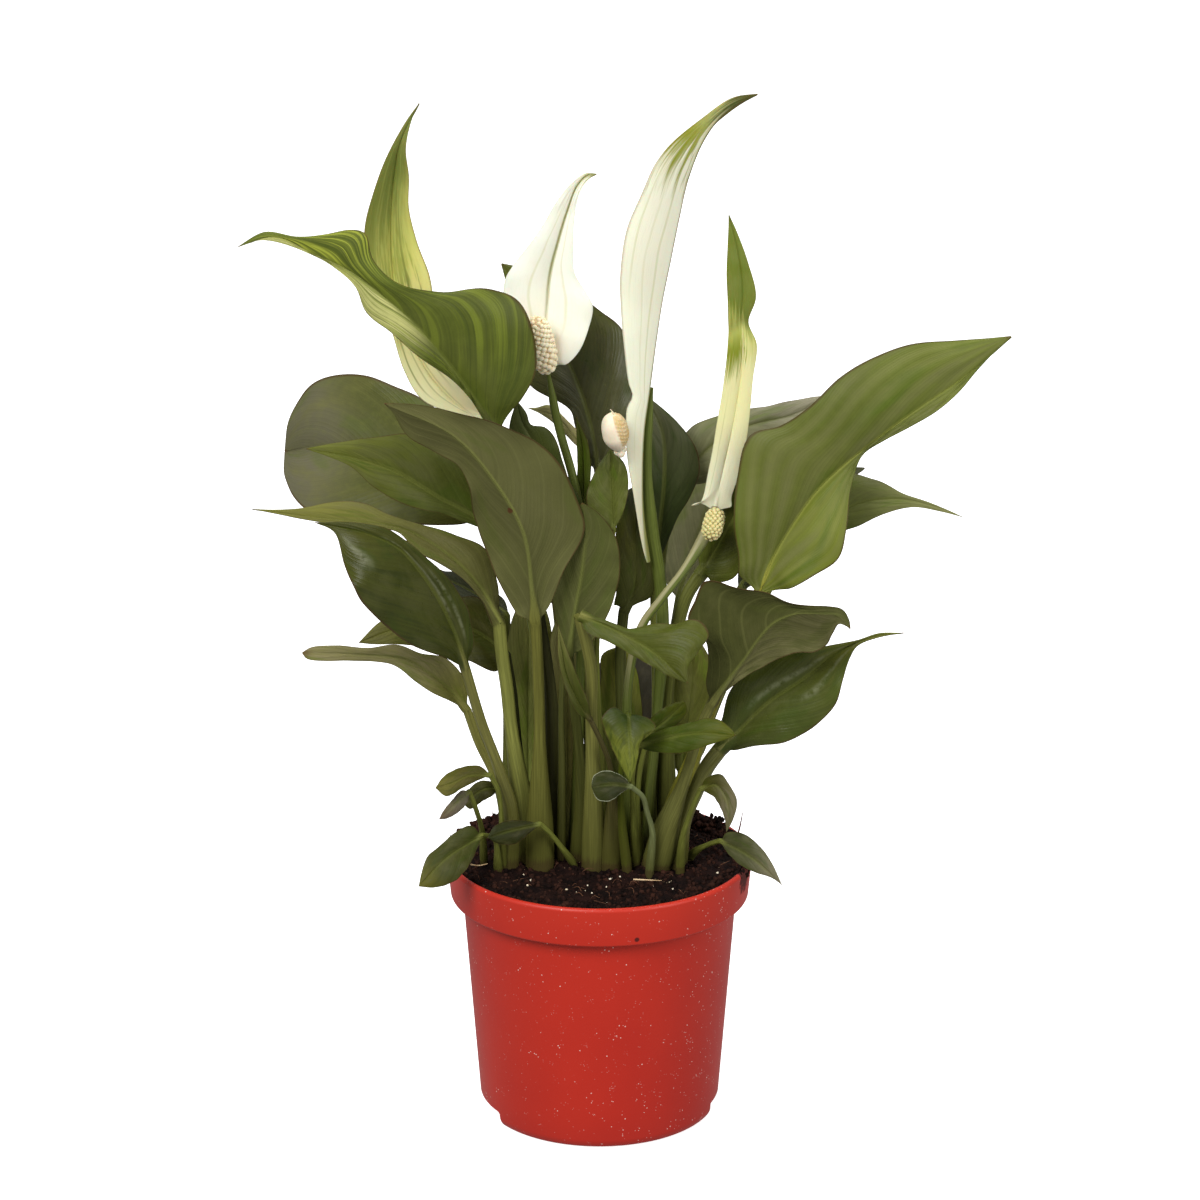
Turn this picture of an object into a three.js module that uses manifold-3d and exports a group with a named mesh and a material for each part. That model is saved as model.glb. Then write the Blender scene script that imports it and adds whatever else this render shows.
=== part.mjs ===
// Potted peace lily: a nursery pot filled with potting soil, leaves on long petioles, four flower stems
// with a spathe and a spadix each. Millimetres, +Z up, pot axis on Z, pot standing on z = 0.
import * as THREE from 'three';
import { mergeVertices } from 'three/addons/utils/BufferGeometryUtils.js';
import Module from 'manifold-3d';

// ---- pot ----
const RIM_R = 45;            // outer radius of the rim
const POT_H = 79.5;          // top of the rim
const RIM_BAND = 12;         // height of the rim band
const RIM_LOW_R = 44;        // rim band radius at its lower edge
const BODY_TOP_R = 40.4;     // wall radius just under the band
const BASE_R = 35.5;         // wall radius above the base corner
const WALL = 1.6;            // wall thickness
const FLOOR = 2;             // floor thickness
const NOTCH_AT = [196, 356, 96];   // drainage notches at the base corner, degrees from +X
const NOTCH_W = 22, NOTCH_H = 4.6;
// ---- soil ----
const SOIL_Z = 78.2;         // mean soil level
const SOIL_R = 42.9;         // soil radius, clear of the inner wall
const ROOT_DEPTH = 9;        // how far a stem goes down into the soil
const ROOT_GAP = 0.32;       // play round a stem in its hole
// ---- leaves ----
const BLADE = 0.62;          // blade thickness
const RIDGE = 0.5;           // extra height of the midrib at the blade base
const MIN_HALF = 0.5;        // narrowest half blade
// Points of the leaves are given as [across, up, depth]: where a point shows on the upright plane through
// the pot axis when looked at from the eye point, and how far behind that plane it lies.
const EYE_D = 1119, EYE_Z = 519;

// rib: midrib from blade base to tip; left and right: the two margins, base and tip left out;
// turn: depth slope across the blade [per mm across, per mm up]; fold: depth of each half along its width;
// wave: edge wave [height, count, phase]; stem: petiole points; root: place in the soil.
const LEAVES = [
  {name: "leaf_left_tall", under: 1, r: 2.8, "thin": 1.65, root: [-17.4, -10],
   stem: [[-17.6, 95, -11], [-17.5, 121, -12.5], [-18, 140, -14]],
   rib: [[-18.5, 150, -15], [-19.5, 160, -16], [-22, 178, -19], [-30, 193, -23], [-42, 207, -29], [-61.5,
      216.5, -38]],
   left: [[-23, 152.5], [-29, 163], [-32.5, 172], [-36.3, 184], [-37.5, 192], [-41, 198.5], [-48, 202.5],
      [-55, 207], [-58.8, 213.5]],
   right: [[-14.5, 156], [-10, 167], [-5, 176], [-4.3, 181], [-6.5, 188], [-11, 198], [-18, 205], [-27,
      209.5], [-40, 213.5], [-52, 216]],
   turn: [0.1, 0], fold: [0.45, 0.3], wave: [0.8, 3, 0.1]},
  {name: "leaf_left_broad", r: 1.3, root: [-18, 11],
   stem: [[-17, 100, 11], [-17.6, 125, 10], [-18.8, 145, 10], [-23, 165, 10], [-27, 178, 11]],
   rib: [[-30, 186, 12], [-45, 194, 18], [-62, 201, 28], [-78, 204, 38], [-90, 202, 46]],
   left: [[-38, 180.8], [-50, 180.3], [-62, 181], [-75, 182.3], [-84.5, 185], [-90, 194]],
   right: [[-33, 200], [-42, 211.5], [-54, 219.5], [-66, 224.3], [-75, 224.8], [-83.5, 220.3], [-88.6, 211]],
   turn: [0, 0.8], fold: [0, 0], wave: [1, 2.5, 0]},
  {name: "leaf_left_inner", r: 1.5, root: [-17, -4],
   stem: [[-17.2, 105, -4], [-17.8, 135, -5], [-21, 158, -6]],
   rib: [[-28, 177, -8], [-37, 183.5, -9], [-46, 188.5, -10], [-58, 196, -12], [-70, 200.3, -14], [-84,
      203, -16]],
   left: [[-36, 180], [-45, 183.5], [-55, 186], [-64, 191], [-71, 197.5], [-78, 200.8]],
   right: [[-31, 188], [-37, 198], [-45, 204.5], [-54, 207.3], [-65, 206.3], [-75, 204.8]],
   turn: [0, 0.5], fold: [0, 0], wave: [0.5, 2, 0]},
  {name: "leaf_left_long", r: 2.9, "thin": 1.9, root: [-24, -6],
   stem: [[-22.9, 92, -6], [-24.6, 109, -7], [-26, 120, -7.2], [-27, 131, -7.5], [-28.3, 141, -7.8]],
   rib: [[-29, 150, -8], [-35, 162, -9], [-44, 171.5, -10], [-57, 179.3, -12], [-70, 181.3, -14], [-82,
      182.6, -16], [-100, 185, -18]],
   left: [[-33, 156], [-40, 164.5], [-47, 169], [-53, 172.5], [-58, 178], [-70, 179.8], [-82, 181.3], [-92,
      183.4]],
   right: [[-29.5, 163], [-33, 173], [-42, 177.5], [-52, 180.6], [-61, 183.5], [-68, 187], [-77, 187],
      [-86, 185.2], [-93, 184.8]],
   turn: [0, 0.9], fold: [-0.4, 0], wave: [0.3, 2, 0]},
  {name: "leaf_left_glossy", r: 1.9, "thin": 1.5, root: [-26.4, -10.6],
   stem: [[-26.2, 92, -11.5], [-28.7, 103, -13.5], [-30.9, 110, -15], [-34.3, 119.5, -17]],
   rib: [[-39, 136.5, -22], [-41.5, 146, -25], [-46, 156.5, -29], [-51, 165, -33], [-58, 173.3, -38], [-68,
      178, -44], [-82, 181, -50]],
   left: [[-45, 140], [-54, 143.5], [-62, 149.7], [-69, 157.5], [-73.5, 168], [-76.3, 178]],
   right: [[-36.6, 144], [-37.4, 152], [-40.4, 159.4], [-45.2, 166], [-51, 171.4], [-60, 178.6], [-70, 181]],
   turn: [0.45, 0.3], fold: [-0.15, -0.15], wave: [0.8, 2.5, 0.3]},
  {name: "leaf_mid_dull", under: 1, r: 1.9, "thin": 1.45, root: [-5.5, -4.7],
   stem: [[-4.8, 92, -6], [-6, 112, -7], [-7.6, 128, -8]],
   rib: [[-9, 140, -9], [-7.5, 152, -9], [-5, 166, -9], [-4, 177, -10], [-5, 187, -12]],
   left: [[-11.5, 147], [-13.7, 158], [-13, 170], [-9.5, 181]],
   right: [[-3, 144], [1.5, 151], [5, 161], [6, 169], [4.5, 177], [0, 183.5]],
   turn: [0.1, 0], fold: [0.2, 0.3], wave: [0.5, 2, 0]},
  {name: "leaf_left_cut", r: 1.5, root: [-28.2, -2.2],
   stem: [[-27.6, 90, -3], [-30.4, 102.5, -5], [-35.4, 114, -9]],
   rib: [[-38.5, 123.5, -12], [-44, 130.5, -14], [-50, 135.5, -17], [-56, 139.3, -20], [-70, 141, -27],
      [-86.5, 141.5, -35]],
   left: [[-43, 126.3], [-49, 129.3], [-54, 133], [-60, 137.7], [-72, 139], [-80, 138.9], [-85, 139.6]],
   right: [[-38.5, 129], [-40.5, 135.5], [-45, 140], [-52, 141.4], [-59, 144], [-67, 143], [-76, 143.7],
      [-83.5, 143.2]],
   turn: [0, 0.7], fold: [0, 0], wave: [0.4, 2, 0]},
  {name: "leaf_left_low", r: 1.3, root: [-22, 1.3],
   stem: [[-22, 95, 2], [-24, 115, 1], [-25.3, 130, 0]],
   rib: [[-27, 141, 0], [-36, 148, 0], [-46, 150.5, -2], [-58, 149, -5], [-70, 144.5, -8]],
   left: [[-30, 135.8], [-38, 139], [-48, 142.5], [-58, 144], [-65, 144]],
   right: [[-29, 151], [-35, 158.4], [-43, 157.5], [-54, 154.8], [-63, 151.3]],
   turn: [0, 0.5], fold: [0, 0], wave: [0.6, 2, 0]},
  {name: "leaf_striped", r: 2, root: [-14, 0.5],
   stem: [[-13.6, 105, 1], [-14.4, 130, 0], [-17.5, 155, -2], [-22.5, 182, -6]],
   rib: [[-29, 207, -13], [-35, 217, -15], [-43, 228.5, -17], [-52, 239.3, -19], [-60, 246.8, -20], [-70,
      254.8, -22], [-81, 260.2, -24], [-91, 264.8, -25], [-102, 261.8, -26]],
   left: [[-33, 212.5], [-40, 221.5], [-47, 227], [-53, 231.5], [-60, 238], [-66, 243], [-69, 250.5], [-76,
      256.8], [-86, 261.8], [-95, 263.8]],
   right: [[-22, 218], [-18, 226], [-18.6, 236], [-23, 246.5], [-31, 249.7], [-45, 249], [-57, 251.5],
      [-63.5, 258], [-66, 265.8], [-70, 266.8], [-77, 265.6], [-85, 264.8], [-94, 266.2]],
   turn: [0, 0.2], fold: [-0.1, 0.1], wave: [0.7, 4, 0.2]},
  {name: "leaf_back_mid", r: 1.3, root: [-2, 12],
   stem: [[-2, 100, 12], [-2, 130, 12], [-2, 160, 12], [-1.5, 182, 13]],
   rib: [[0, 195, 14], [-3, 212, 17], [-9, 229, 20], [-17, 244, 23], [-27.8, 257.3, 24]],
   left: [[-4.5, 201], [-7, 209.5], [-8.2, 214.2], [-12, 217], [-15.5, 218.8], [-20.3, 222.4], [-23, 232],
      [-24.3, 243], [-26.3, 251.5]],
   right: [[5.5, 203], [9, 216], [9.5, 230], [6, 238.5], [0, 243.7], [-10, 250.5], [-20, 255.4]],
   turn: [0, 0.3], fold: [0, 0], wave: [0.8, 2.5, 0]},
  {name: "leaf_back_right", r: 1.3, root: [15, 4],
   stem: [[15.5, 100, 7], [16.5, 125, 11], [16, 150, 14]],
   rib: [[15.8, 166, 16], [17.3, 180, 17], [18.5, 194, 18], [18, 207, 20], [13, 219, 22]],
   left: [[14.3, 172], [11.5, 182], [9.5, 193], [9.5, 207]],
   right: [[18.5, 172.5], [22.5, 182.5], [27.5, 192], [28.5, 200], [25, 207.5], [19, 214]],
   turn: [0, 0.3], fold: [0, 0], wave: [0.7, 2, 0]},
  {name: "leaf_back_sliver", r: 1.2, root: [14, 10],
   stem: [[15.5, 100, 13], [17, 125, 18], [17.3, 150, 22], [18.5, 175, 25]],
   rib: [[23, 192, 27], [31, 203, 29], [42, 209.5, 31], [55, 213, 34], [67, 219, 38]],
   left: [[22.5, 203], [27, 210], [37, 213.3], [48, 215.7], [59, 218]],
   right: [[31, 193], [41, 197], [51, 201], [60, 208]],
   turn: [0, 0.5], fold: [0, 0], wave: [0.5, 2, 0]},
  {name: "leaf_blade_young", small: 1, r: 0.9, root: [-3, 5],
   stem: [[-3.5, 110, 5], [-4, 150, 5], [-3.8, 178, 5]],
   rib: [[-4.5, 186, 6.2], [-4.5, 195, 6.8], [-4.9, 204, 7], [-6.6, 212.3, 7]],
   left: [[-6.3, 191], [-6.3, 198], [-6.5, 205]],
   right: [[-3, 191], [-2.5, 198], [-3.4, 205]],
   turn: [0, 0], fold: [-0.8, -0.8], wave: [0, 1, 0]},
  {name: "leaf_curled_mid", small: 1, r: 0.9, root: [1.5, 1],
   stem: [[0.5, 110, 1], [-0.7, 145, 0.5], [1.5, 166, 0]],
   rib: [[4, 178.5, -1], [3.6, 190, 0], [3, 203, 1]],
   left: [[-1, 182], [-3.8, 187.5], [-1.2, 196.5]],
   right: [[6.8, 184], [8.3, 192], [7.2, 198.5]],
   turn: [0, 0.2], fold: [-0.3, -0.3], wave: [0.3, 2, 0]},
  {name: "leaf_right_large", r: 2.4, "thin": 1.5, root: [20, -3.4],
   stem: [[21.6, 91, -3], [27.5, 109, -3], [36, 133, -1.5]],
   rib: [[46, 159, 0], [50, 170, 1], [56, 181, 2], [62, 190, 3], [69, 197.3, 4], [76, 203.3, 5], [84,
      209.8, 6], [92, 215.8, 8], [100, 221.6, 10], [108, 228, 12], [117, 236.2, 14]],
   left: [[41, 162], [40, 171], [38.6, 181], [39.5, 195], [43, 207], [52, 210], [60, 215.7], [68, 223.8],
      [78, 230], [88, 233.7], [100, 234.8], [110, 235.5]],
   right: [[54, 160.5], [62, 165], [68.8, 170], [71, 179], [72, 191], [75, 200.5], [81, 205.3], [89,
      209.6], [97, 214.7], [103, 220.5], [108, 227], [112.5, 232]],
   turn: [-0.15, 0.2], fold: [-0.3, -0.3], wave: [0.9, 3, 0.2]},
  {name: "leaf_right_back", r: 1.5, root: [22.8, 2.6],
   stem: [[23, 95, 4], [30, 115, 8], [41, 143, 12]],
   rib: [[51, 166, 14], [62, 178, 16], [74, 186.5, 18], [86, 188, 19], [96, 186, 19], [104.5, 182.5, 18]],
   left: [[52, 177], [60, 190], [70, 195.5], [79, 193.8], [87, 189.7], [96, 186.4]],
   right: [[60, 170], [67, 176.8], [75, 180.2], [82, 183.6], [90, 185.5], [98, 184.2]],
   turn: [0, 0.5], fold: [0, 0], wave: [0.5, 2, 0]},
  {name: "leaf_right_dark", r: 1.5, "thin": 2, root: [20, 5.5],
   stem: [[19.8, 100, 6.6], [19.6, 125, 8.6], [20.6, 140, 10.6], [22.6, 150, 12], [25.2, 159, 13]],
   rib: [[28.8, 165, 14], [32.8, 172, 15], [39, 184, 16], [46, 196, 18]],
   left: [[28.7, 168], [28.6, 174], [32.5, 183], [40, 193]],
   right: [[33, 162.8], [38.8, 164.4], [44, 175], [48, 186]],
   turn: [0, 0.3], fold: [0, 0], wave: [0.4, 2, 0]},
  {name: "leaf_right_dull", under: 1, r: 2.9, "thin": 1.5, root: [16.6, -11.2],
   stem: [[20.3, 89, -13], [24.6, 101, -16], [29.5, 118, -21]],
   rib: [[32.5, 125.5, -24], [37, 132, -27], [42, 139, -30], [47, 146.5, -34], [51, 150.8, -37], [57,
      153.4, -41], [64, 153.4, -45], [69.5, 152.6, -48], [72.8, 148.6, -50]],
   left: [[31, 131], [31.6, 139], [30.4, 146], [25.6, 151.2], [27.4, 157], [30.4, 163.2], [38, 161.7], [46,
      160.2], [54, 157.3], [60, 155.8], [66, 155.7], [70.2, 154.8], [72.2, 151.8]],
   right: [[36, 128.8], [42, 133.8], [48, 137.5], [56, 141.2], [62.5, 141.8], [65.6, 143.6], [67.6, 147.2],
      [69.2, 150.2], [71.4, 149.6]],
   turn: [0, 0], fold: [0.3, 0.2], wave: [0.7, 2.5, 0]},
  {name: "leaf_right_glossy", r: 2.1, "thin": 2.3, root: [22.6, -9.2],
   stem: [[24.3, 88.5, -10], [28, 98, -12], [31.4, 106, -13.6]],
   rib: [[35.2, 111.6, -15], [39.4, 116, -16.4], [49, 126, -19], [60, 134, -22], [68, 140.8, -25], [73.5,
      144.1, -27], [80, 146.5, -29], [88.4, 147.6, -32]],
   left: [[34.6, 117.4], [36, 122], [38, 130], [45, 136.8], [53, 140.6], [62, 142.8], [70, 144.4], [75,
      145.5], [81, 147.5]],
   right: [[38.6, 111.2], [45, 112.6], [54, 113.8], [62.5, 118.5], [69, 126], [70.8, 133], [72.6, 139.4],
      [74.9, 143.6], [80.5, 146]],
   turn: [0, 0.55], fold: [-0.1, -0.1], wave: [0.7, 2.5, 0.1]},
  {name: "leaf_mid_bright", r: 2, "thin": 1.75, root: [-2, -11],
   stem: [[-1.8, 100, -13], [-2.4, 122, -15], [-2.6, 138, -17.5]],
   rib: [[-5.8, 152.8, -22], [1.5, 150, -25], [8, 146.6, -28], [14, 143, -32], [19.5, 138.6, -36], [25.8,
      132, -40]],
   left: [[-2, 152.6], [4, 150.6], [9, 148.6], [14, 150], [22, 150.5], [29, 151.3], [31.6, 147], [28.5,
      141.5], [25.8, 137]],
   right: [[-4, 148], [3, 144.6], [9, 141], [15, 137.4], [21, 134]],
   turn: [0, 0.25], fold: [-0.1, -0.1], wave: [0.4, 2, 0]},
  {name: "leaf_mid_hanging", small: 1, r: 1, root: [8, -14.6],
   stem: [[6.5, 90, -18], [6.3, 106, -24], [7.6, 118, -29]],
   rib: [[8.3, 123, -32], [8.8, 116.5, -36], [9.2, 109, -38.5], [9, 101.5, -40.5]],
   left: [[13.5, 121.6], [16.4, 119], [12.3, 114.5], [11, 108]],
   right: [[3.5, 124.5], [0.7, 121], [2.4, 115.5], [5.5, 108]],
   turn: [0, 0], fold: [0.25, 0.25], wave: [0.2, 2, 0]},
  {name: "leaf_mid_right", small: 1, r: 1, root: [10.6, -10.8],
   stem: [[10, 90, -15], [9.6, 103, -20]],
   rib: [[11, 112.5, -25], [20, 115.3, -29], [30, 116.8, -33], [39.8, 116, -36]],
   left: [[15, 116.3], [25, 119.7], [33.5, 121.3], [38, 118.5]],
   right: [[15, 111.1], [24, 110.5], [32, 113], [37, 114.8]],
   turn: [0, 0.4], fold: [0, 0], wave: [0.3, 2, 0]},
  {name: "leaf_mid_small", small: 1, r: 0.9, root: [12, -6.3],
   stem: [[11, 92, -8], [12, 106, -10]],
   rib: [[14.5, 117, -12], [19, 120.5, -13.5], [25, 126.5, -15]],
   left: [[14.5, 120.5], [18, 124], [22, 126.2]],
   right: [[18.5, 117.4], [23, 119.8], [25.5, 123.5]],
   turn: [0, 0.3], fold: [0, 0], wave: [0.2, 2, 0]},
  {name: "leaf_mid_curled", small: 1, r: 0.9, root: [14.6, -17.4],
   stem: [[15.6, 85.5, -18], [14, 92, -20], [12.6, 97, -22]],
   rib: [[9.3, 100, -24], [4, 100.8, -26], [-2.4, 100, -28]],
   left: [[6.5, 98.2], [3, 95.6], [-0.5, 96]],
   right: [[7, 103], [2, 105], [-1.6, 103.4]],
   turn: [0, 0.4], fold: [0, 0], wave: [0, 1, 0]},
  {name: "leaf_rolled", small: 1, r: 2.2, root: [3.4, -11.2],
   stem: [[3.8, 92, -13], [3.2, 106, -17], [0.5, 114, -19]],
   rib: [[-2.5, 120.5, -20], [-6.5, 127.5, -21], [-9.5, 135, -21], [-12, 150, -21]],
   left: [[-6, 122.5], [-10, 131], [-12, 140]],
   right: [[-3, 125.5], [-6.3, 134], [-10, 144]],
   turn: [0, 0], fold: [-0.8, -0.6], wave: [0, 1, 0]},
  {name: "leaf_low_left_1", small: 1, r: 0.9, root: [-28.2, -13.1],
   stem: [[-28.8, 90, -16], [-29.8, 99, -18.5]],
   rib: [[-32, 103.6, -20], [-38, 103.7, -23], [-43, 101.3, -26], [-48.2, 99.6, -29]],
   left: [[-36, 101.8], [-40, 99.7], [-45, 97]],
   right: [[-35, 106.4], [-40, 106.2], [-45.5, 103.4]],
   turn: [0, 0.5], fold: [0, 0], wave: [0.2, 2, 0]},
  {name: "leaf_low_left_2", small: 1, r: 0.8, root: [-33.8, -9],
   stem: [[-34.6, 86, -12.5], [-36, 92, -18]],
   rib: [[-38.2, 98.5, -21], [-41, 96.2, -24], [-44, 93, -27], [-47.2, 89.8, -30]],
   left: [[-38.8, 95.2], [-41.5, 92], [-45, 90]],
   right: [[-40.5, 98.8], [-43.5, 95.6], [-46, 92.3]],
   turn: [0, 0.2], fold: [0.2, 0.2], wave: [0, 1, 0]},
  {name: "leaf_rim_left", small: 1, r: 0.9, root: [-29.5, -15],
   stem: [[-31, 83.8, -18]],
   rib: [[-34.5, 84.8, -21.5], [-40, 81.5, -26], [-46, 77, -32], [-53.5, 68.5, -38]],
   left: [[-36, 80.8], [-39, 74.5], [-43, 70.2], [-48.5, 68.2]],
   right: [[-38, 87.8], [-43, 85.3], [-47, 81.5], [-50.8, 78], [-52.7, 72.5]],
   turn: [0, 0.2], fold: [0, 0], wave: [0.3, 2, 0]},
  {name: "leaf_low_mid", small: 1, r: 0.8, root: [-7.5, -11],
   stem: [[-10.5, 80, -14], [-14.5, 85.3, -16.5]],
   rib: [[-17.5, 88.3, -18], [-23.5, 87, -20.5], [-29, 85.5, -22.5], [-33, 84, -24]],
   left: [[-20.5, 85.6], [-25, 82], [-30, 82.2]],
   right: [[-21, 89.2], [-27, 89.3], [-31, 87.5]],
   turn: [0, 0.3], fold: [0, 0], wave: [0.2, 2, 0]},
  {name: "leaf_low_right", small: 1, r: 0.9, root: [23.5, -14.5],
   stem: [[24.5, 84, -16], [26.8, 92, -18]],
   rib: [[29.6, 99.2, -20], [33.9, 100.8, -22], [36.7, 97.8, -24], [38.3, 92.2, -26], [37.4, 85.8, -27]],
   left: [[31.2, 102.6], [35.4, 104], [37.9, 101], [40.4, 95.6], [39.4, 90]],
   right: [[31.4, 98.2], [33.5, 96.9], [35.7, 93.2], [37, 89.2]],
   turn: [0, 0], fold: [0, 0], wave: [0.2, 2, 0]},
  {name: "leaf_rim_right", small: 1, r: 0.9, root: [26.4, -5.5],
   stem: [[28.2, 79.6, -8], [32, 81.8, -13]],
   rib: [[35.5, 83, -18], [41, 80.4, -23], [46.5, 76.6, -28], [54, 69, -34]],
   left: [[37.5, 85.6], [42.5, 85.2], [47.5, 81], [51, 75.8]],
   right: [[37.5, 79.6], [41.5, 75.4], [46, 73], [51, 71.2]],
   turn: [0, 0.2], fold: [0, 0], wave: [0.3, 2, 0]},
  {name: "leaf_inner_left", small: 1, r: 1, root: [-20.5, 14.4],
   stem: [[-20.6, 84, 14.2]],
   rib: [[-20.6, 91, 14], [-20.8, 112, 13.8], [-20.6, 138, 13.6], [-20, 164, 13.6]],
   left: [[-25, 97], [-27.4, 112], [-27.8, 132], [-25.8, 150]],
   right: [[-16.6, 97], [-14.6, 112], [-13.6, 132], [-14.6, 152]],
   turn: [0, 0], fold: [0, 0], wave: [0.2, 2, 0]},
  {name: "leaf_inner_mid", small: 1, r: 1, root: [-9, 7.6],
   stem: [[-9.2, 84, 7.8]],
   rib: [[-9.5, 90, 8], [-9.6, 108, 8.2], [-9.6, 128, 8.5], [-9.4, 158, 9]],
   left: [[-13, 96], [-14.6, 112], [-14.8, 130], [-13.8, 148]],
   right: [[-6, 96], [-4.8, 110], [-4.6, 128], [-6, 146]],
   turn: [0, 0], fold: [0, 0], wave: [0.2, 2, 0]},
  {name: "leaf_inner_right", small: 1, r: 1, root: [6.5, 9.5],
   stem: [[6.5, 84, 9.8]],
   rib: [[6.5, 90, 10], [6.6, 108, 10.5], [7, 124, 11], [7, 144, 11.5]],
   left: [[2, 96], [0.2, 108], [0.2, 122], [0.4, 134], [0.8, 141]],
   right: [[16, 95], [15, 107], [12.8, 121], [10.8, 136]],
   turn: [0, 0], fold: [0, 0], wave: [0.2, 2, 0]},
  {name: "leaf_inner_far", small: 1, r: 1, root: [18.6, 9.4],
   stem: [[19.4, 84, 10], [21.6, 96, 12.6]],
   rib: [[23.6, 103.4, 14], [25.6, 118, 14.8], [27, 134, 15.4], [26.4, 149.4, 16]],
   left: [[21, 108], [19.6, 118], [20, 131], [22.8, 143]],
   right: [[27.6, 106], [31.4, 113], [33, 125], [32.2, 139]],
   turn: [0, 0], fold: [0, 0], wave: [0.2, 2, 0]},
  {name: "leaf_mid_back", small: 1, r: 1, root: [-11.4, -5],
   stem: [[-11, 100, -4.6], [-11, 130, -4.4], [-9, 162, -3.4]],
   rib: [[-7, 182, -2], [-10.6, 191, -1.6], [-15.6, 200, -1.6], [-20, 207, -2], [-22.4, 212, -2.6], [-23.6,
      217.4, -3]],
   left: [[-11.6, 185], [-19, 192], [-24.6, 201], [-25.8, 209]],
   right: [[-5.4, 187.4], [-8.6, 193.4], [-10.7, 200], [-12.9, 206.6], [-15.6, 209.4], [-19.6, 210.2],
      [-20.8, 213.6]],
   turn: [0, 0], fold: [0, 0], wave: [0.2, 2, 0]},
  {name: "leaf_back_strip", small: 1, r: 0.9, root: [-6, 11.6],
   stem: [[-6, 100, 11.8], [-6, 140, 11.6], [-4.6, 175, 10.6], [-3.4, 192, 10]],
   rib: [[-3, 199, 9.6], [-7.4, 206.6, 9.4], [-12.4, 212.4, 9.4], [-20.6, 215.1, 9.4]],
   left: [[-5.2, 202.4], [-8, 205.3], [-10.4, 207.9], [-13.5, 210.9], [-17, 213.4]],
   right: [[-3.6, 206], [-7.1, 209.3], [-10, 212.3], [-12.6, 214.9], [-14.8, 216], [-17.8, 215.2]],
   turn: [0, 0], fold: [0, 0], wave: [0, 1, 0]},
  {name: "leaf_back_low", small: 1, r: 1, "thin": 1.6, root: [9.6, 3.8],
   stem: [[8, 100, 4.4], [6.4, 125, 6.4], [6.1, 143, 8.6]],
   rib: [[7, 154, 10], [9.8, 160, 10.2], [10.6, 166, 10.6], [10.4, 178, 11.2], [10.2, 192, 12]],
   left: [[4.4, 155.4], [4.8, 160], [5.2, 166], [6, 173], [7.4, 182], [9, 189]],
   right: [[10.4, 156.2], [14.6, 158.4], [16, 162], [15.8, 168], [15.4, 176], [12.6, 186]],
   turn: [0, 0], fold: [0, 0], wave: [0.2, 2, 0]},
  {name: "leaf_low_left_3", small: 1, r: 0.8, root: [-28.6, -6.2],
   stem: [[-28.8, 90, -6.6], [-29.2, 96.8, -7.6]],
   rib: [[-29.8, 99.6, -9], [-33.4, 99.6, -11.4], [-37, 97.4, -13.6], [-39.6, 94.2, -15]],
   left: [[-31, 97.6], [-34.5, 95.4], [-38, 93]],
   right: [[-31, 101.3], [-35, 101.8], [-38.6, 98.8]],
   turn: [0, 0.2], fold: [0, 0], wave: [0.2, 2, 0]},
];
const BACK = [
  {name: "leaf_rear_1", r: 1.4, root: [-27, 14.6], knee: [-27.5, 18, 147], tip: [-60, 46, 152], rise: 6,
      half: 7},
  {name: "leaf_rear_2", r: 1.4, root: [-12, 14], knee: [-20, 30, 158], tip: [-52, 64, 196], rise: 14,
      half: 11},
  {name: "leaf_rear_3", r: 1.4, root: [-6, 21], knee: [-13, 42, 143], tip: [-24, 92, 170], rise: 22,
      half: 14},
  {name: "leaf_rear_4", r: 1.4, root: [4, 18], knee: [5, 34, 92], tip: [10, 84, 112], rise: 16, half: 12},
  {name: "leaf_rear_5", r: 1.4, root: [12, 18], knee: [24, 42, 145], tip: [46, 84, 186], rise: 16, half: 14},
  {name: "leaf_rear_6", r: 1.4, root: [22, 12], knee: [42, 34, 150], tip: [80, 60, 180], rise: 12, half: 10},
];
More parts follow.
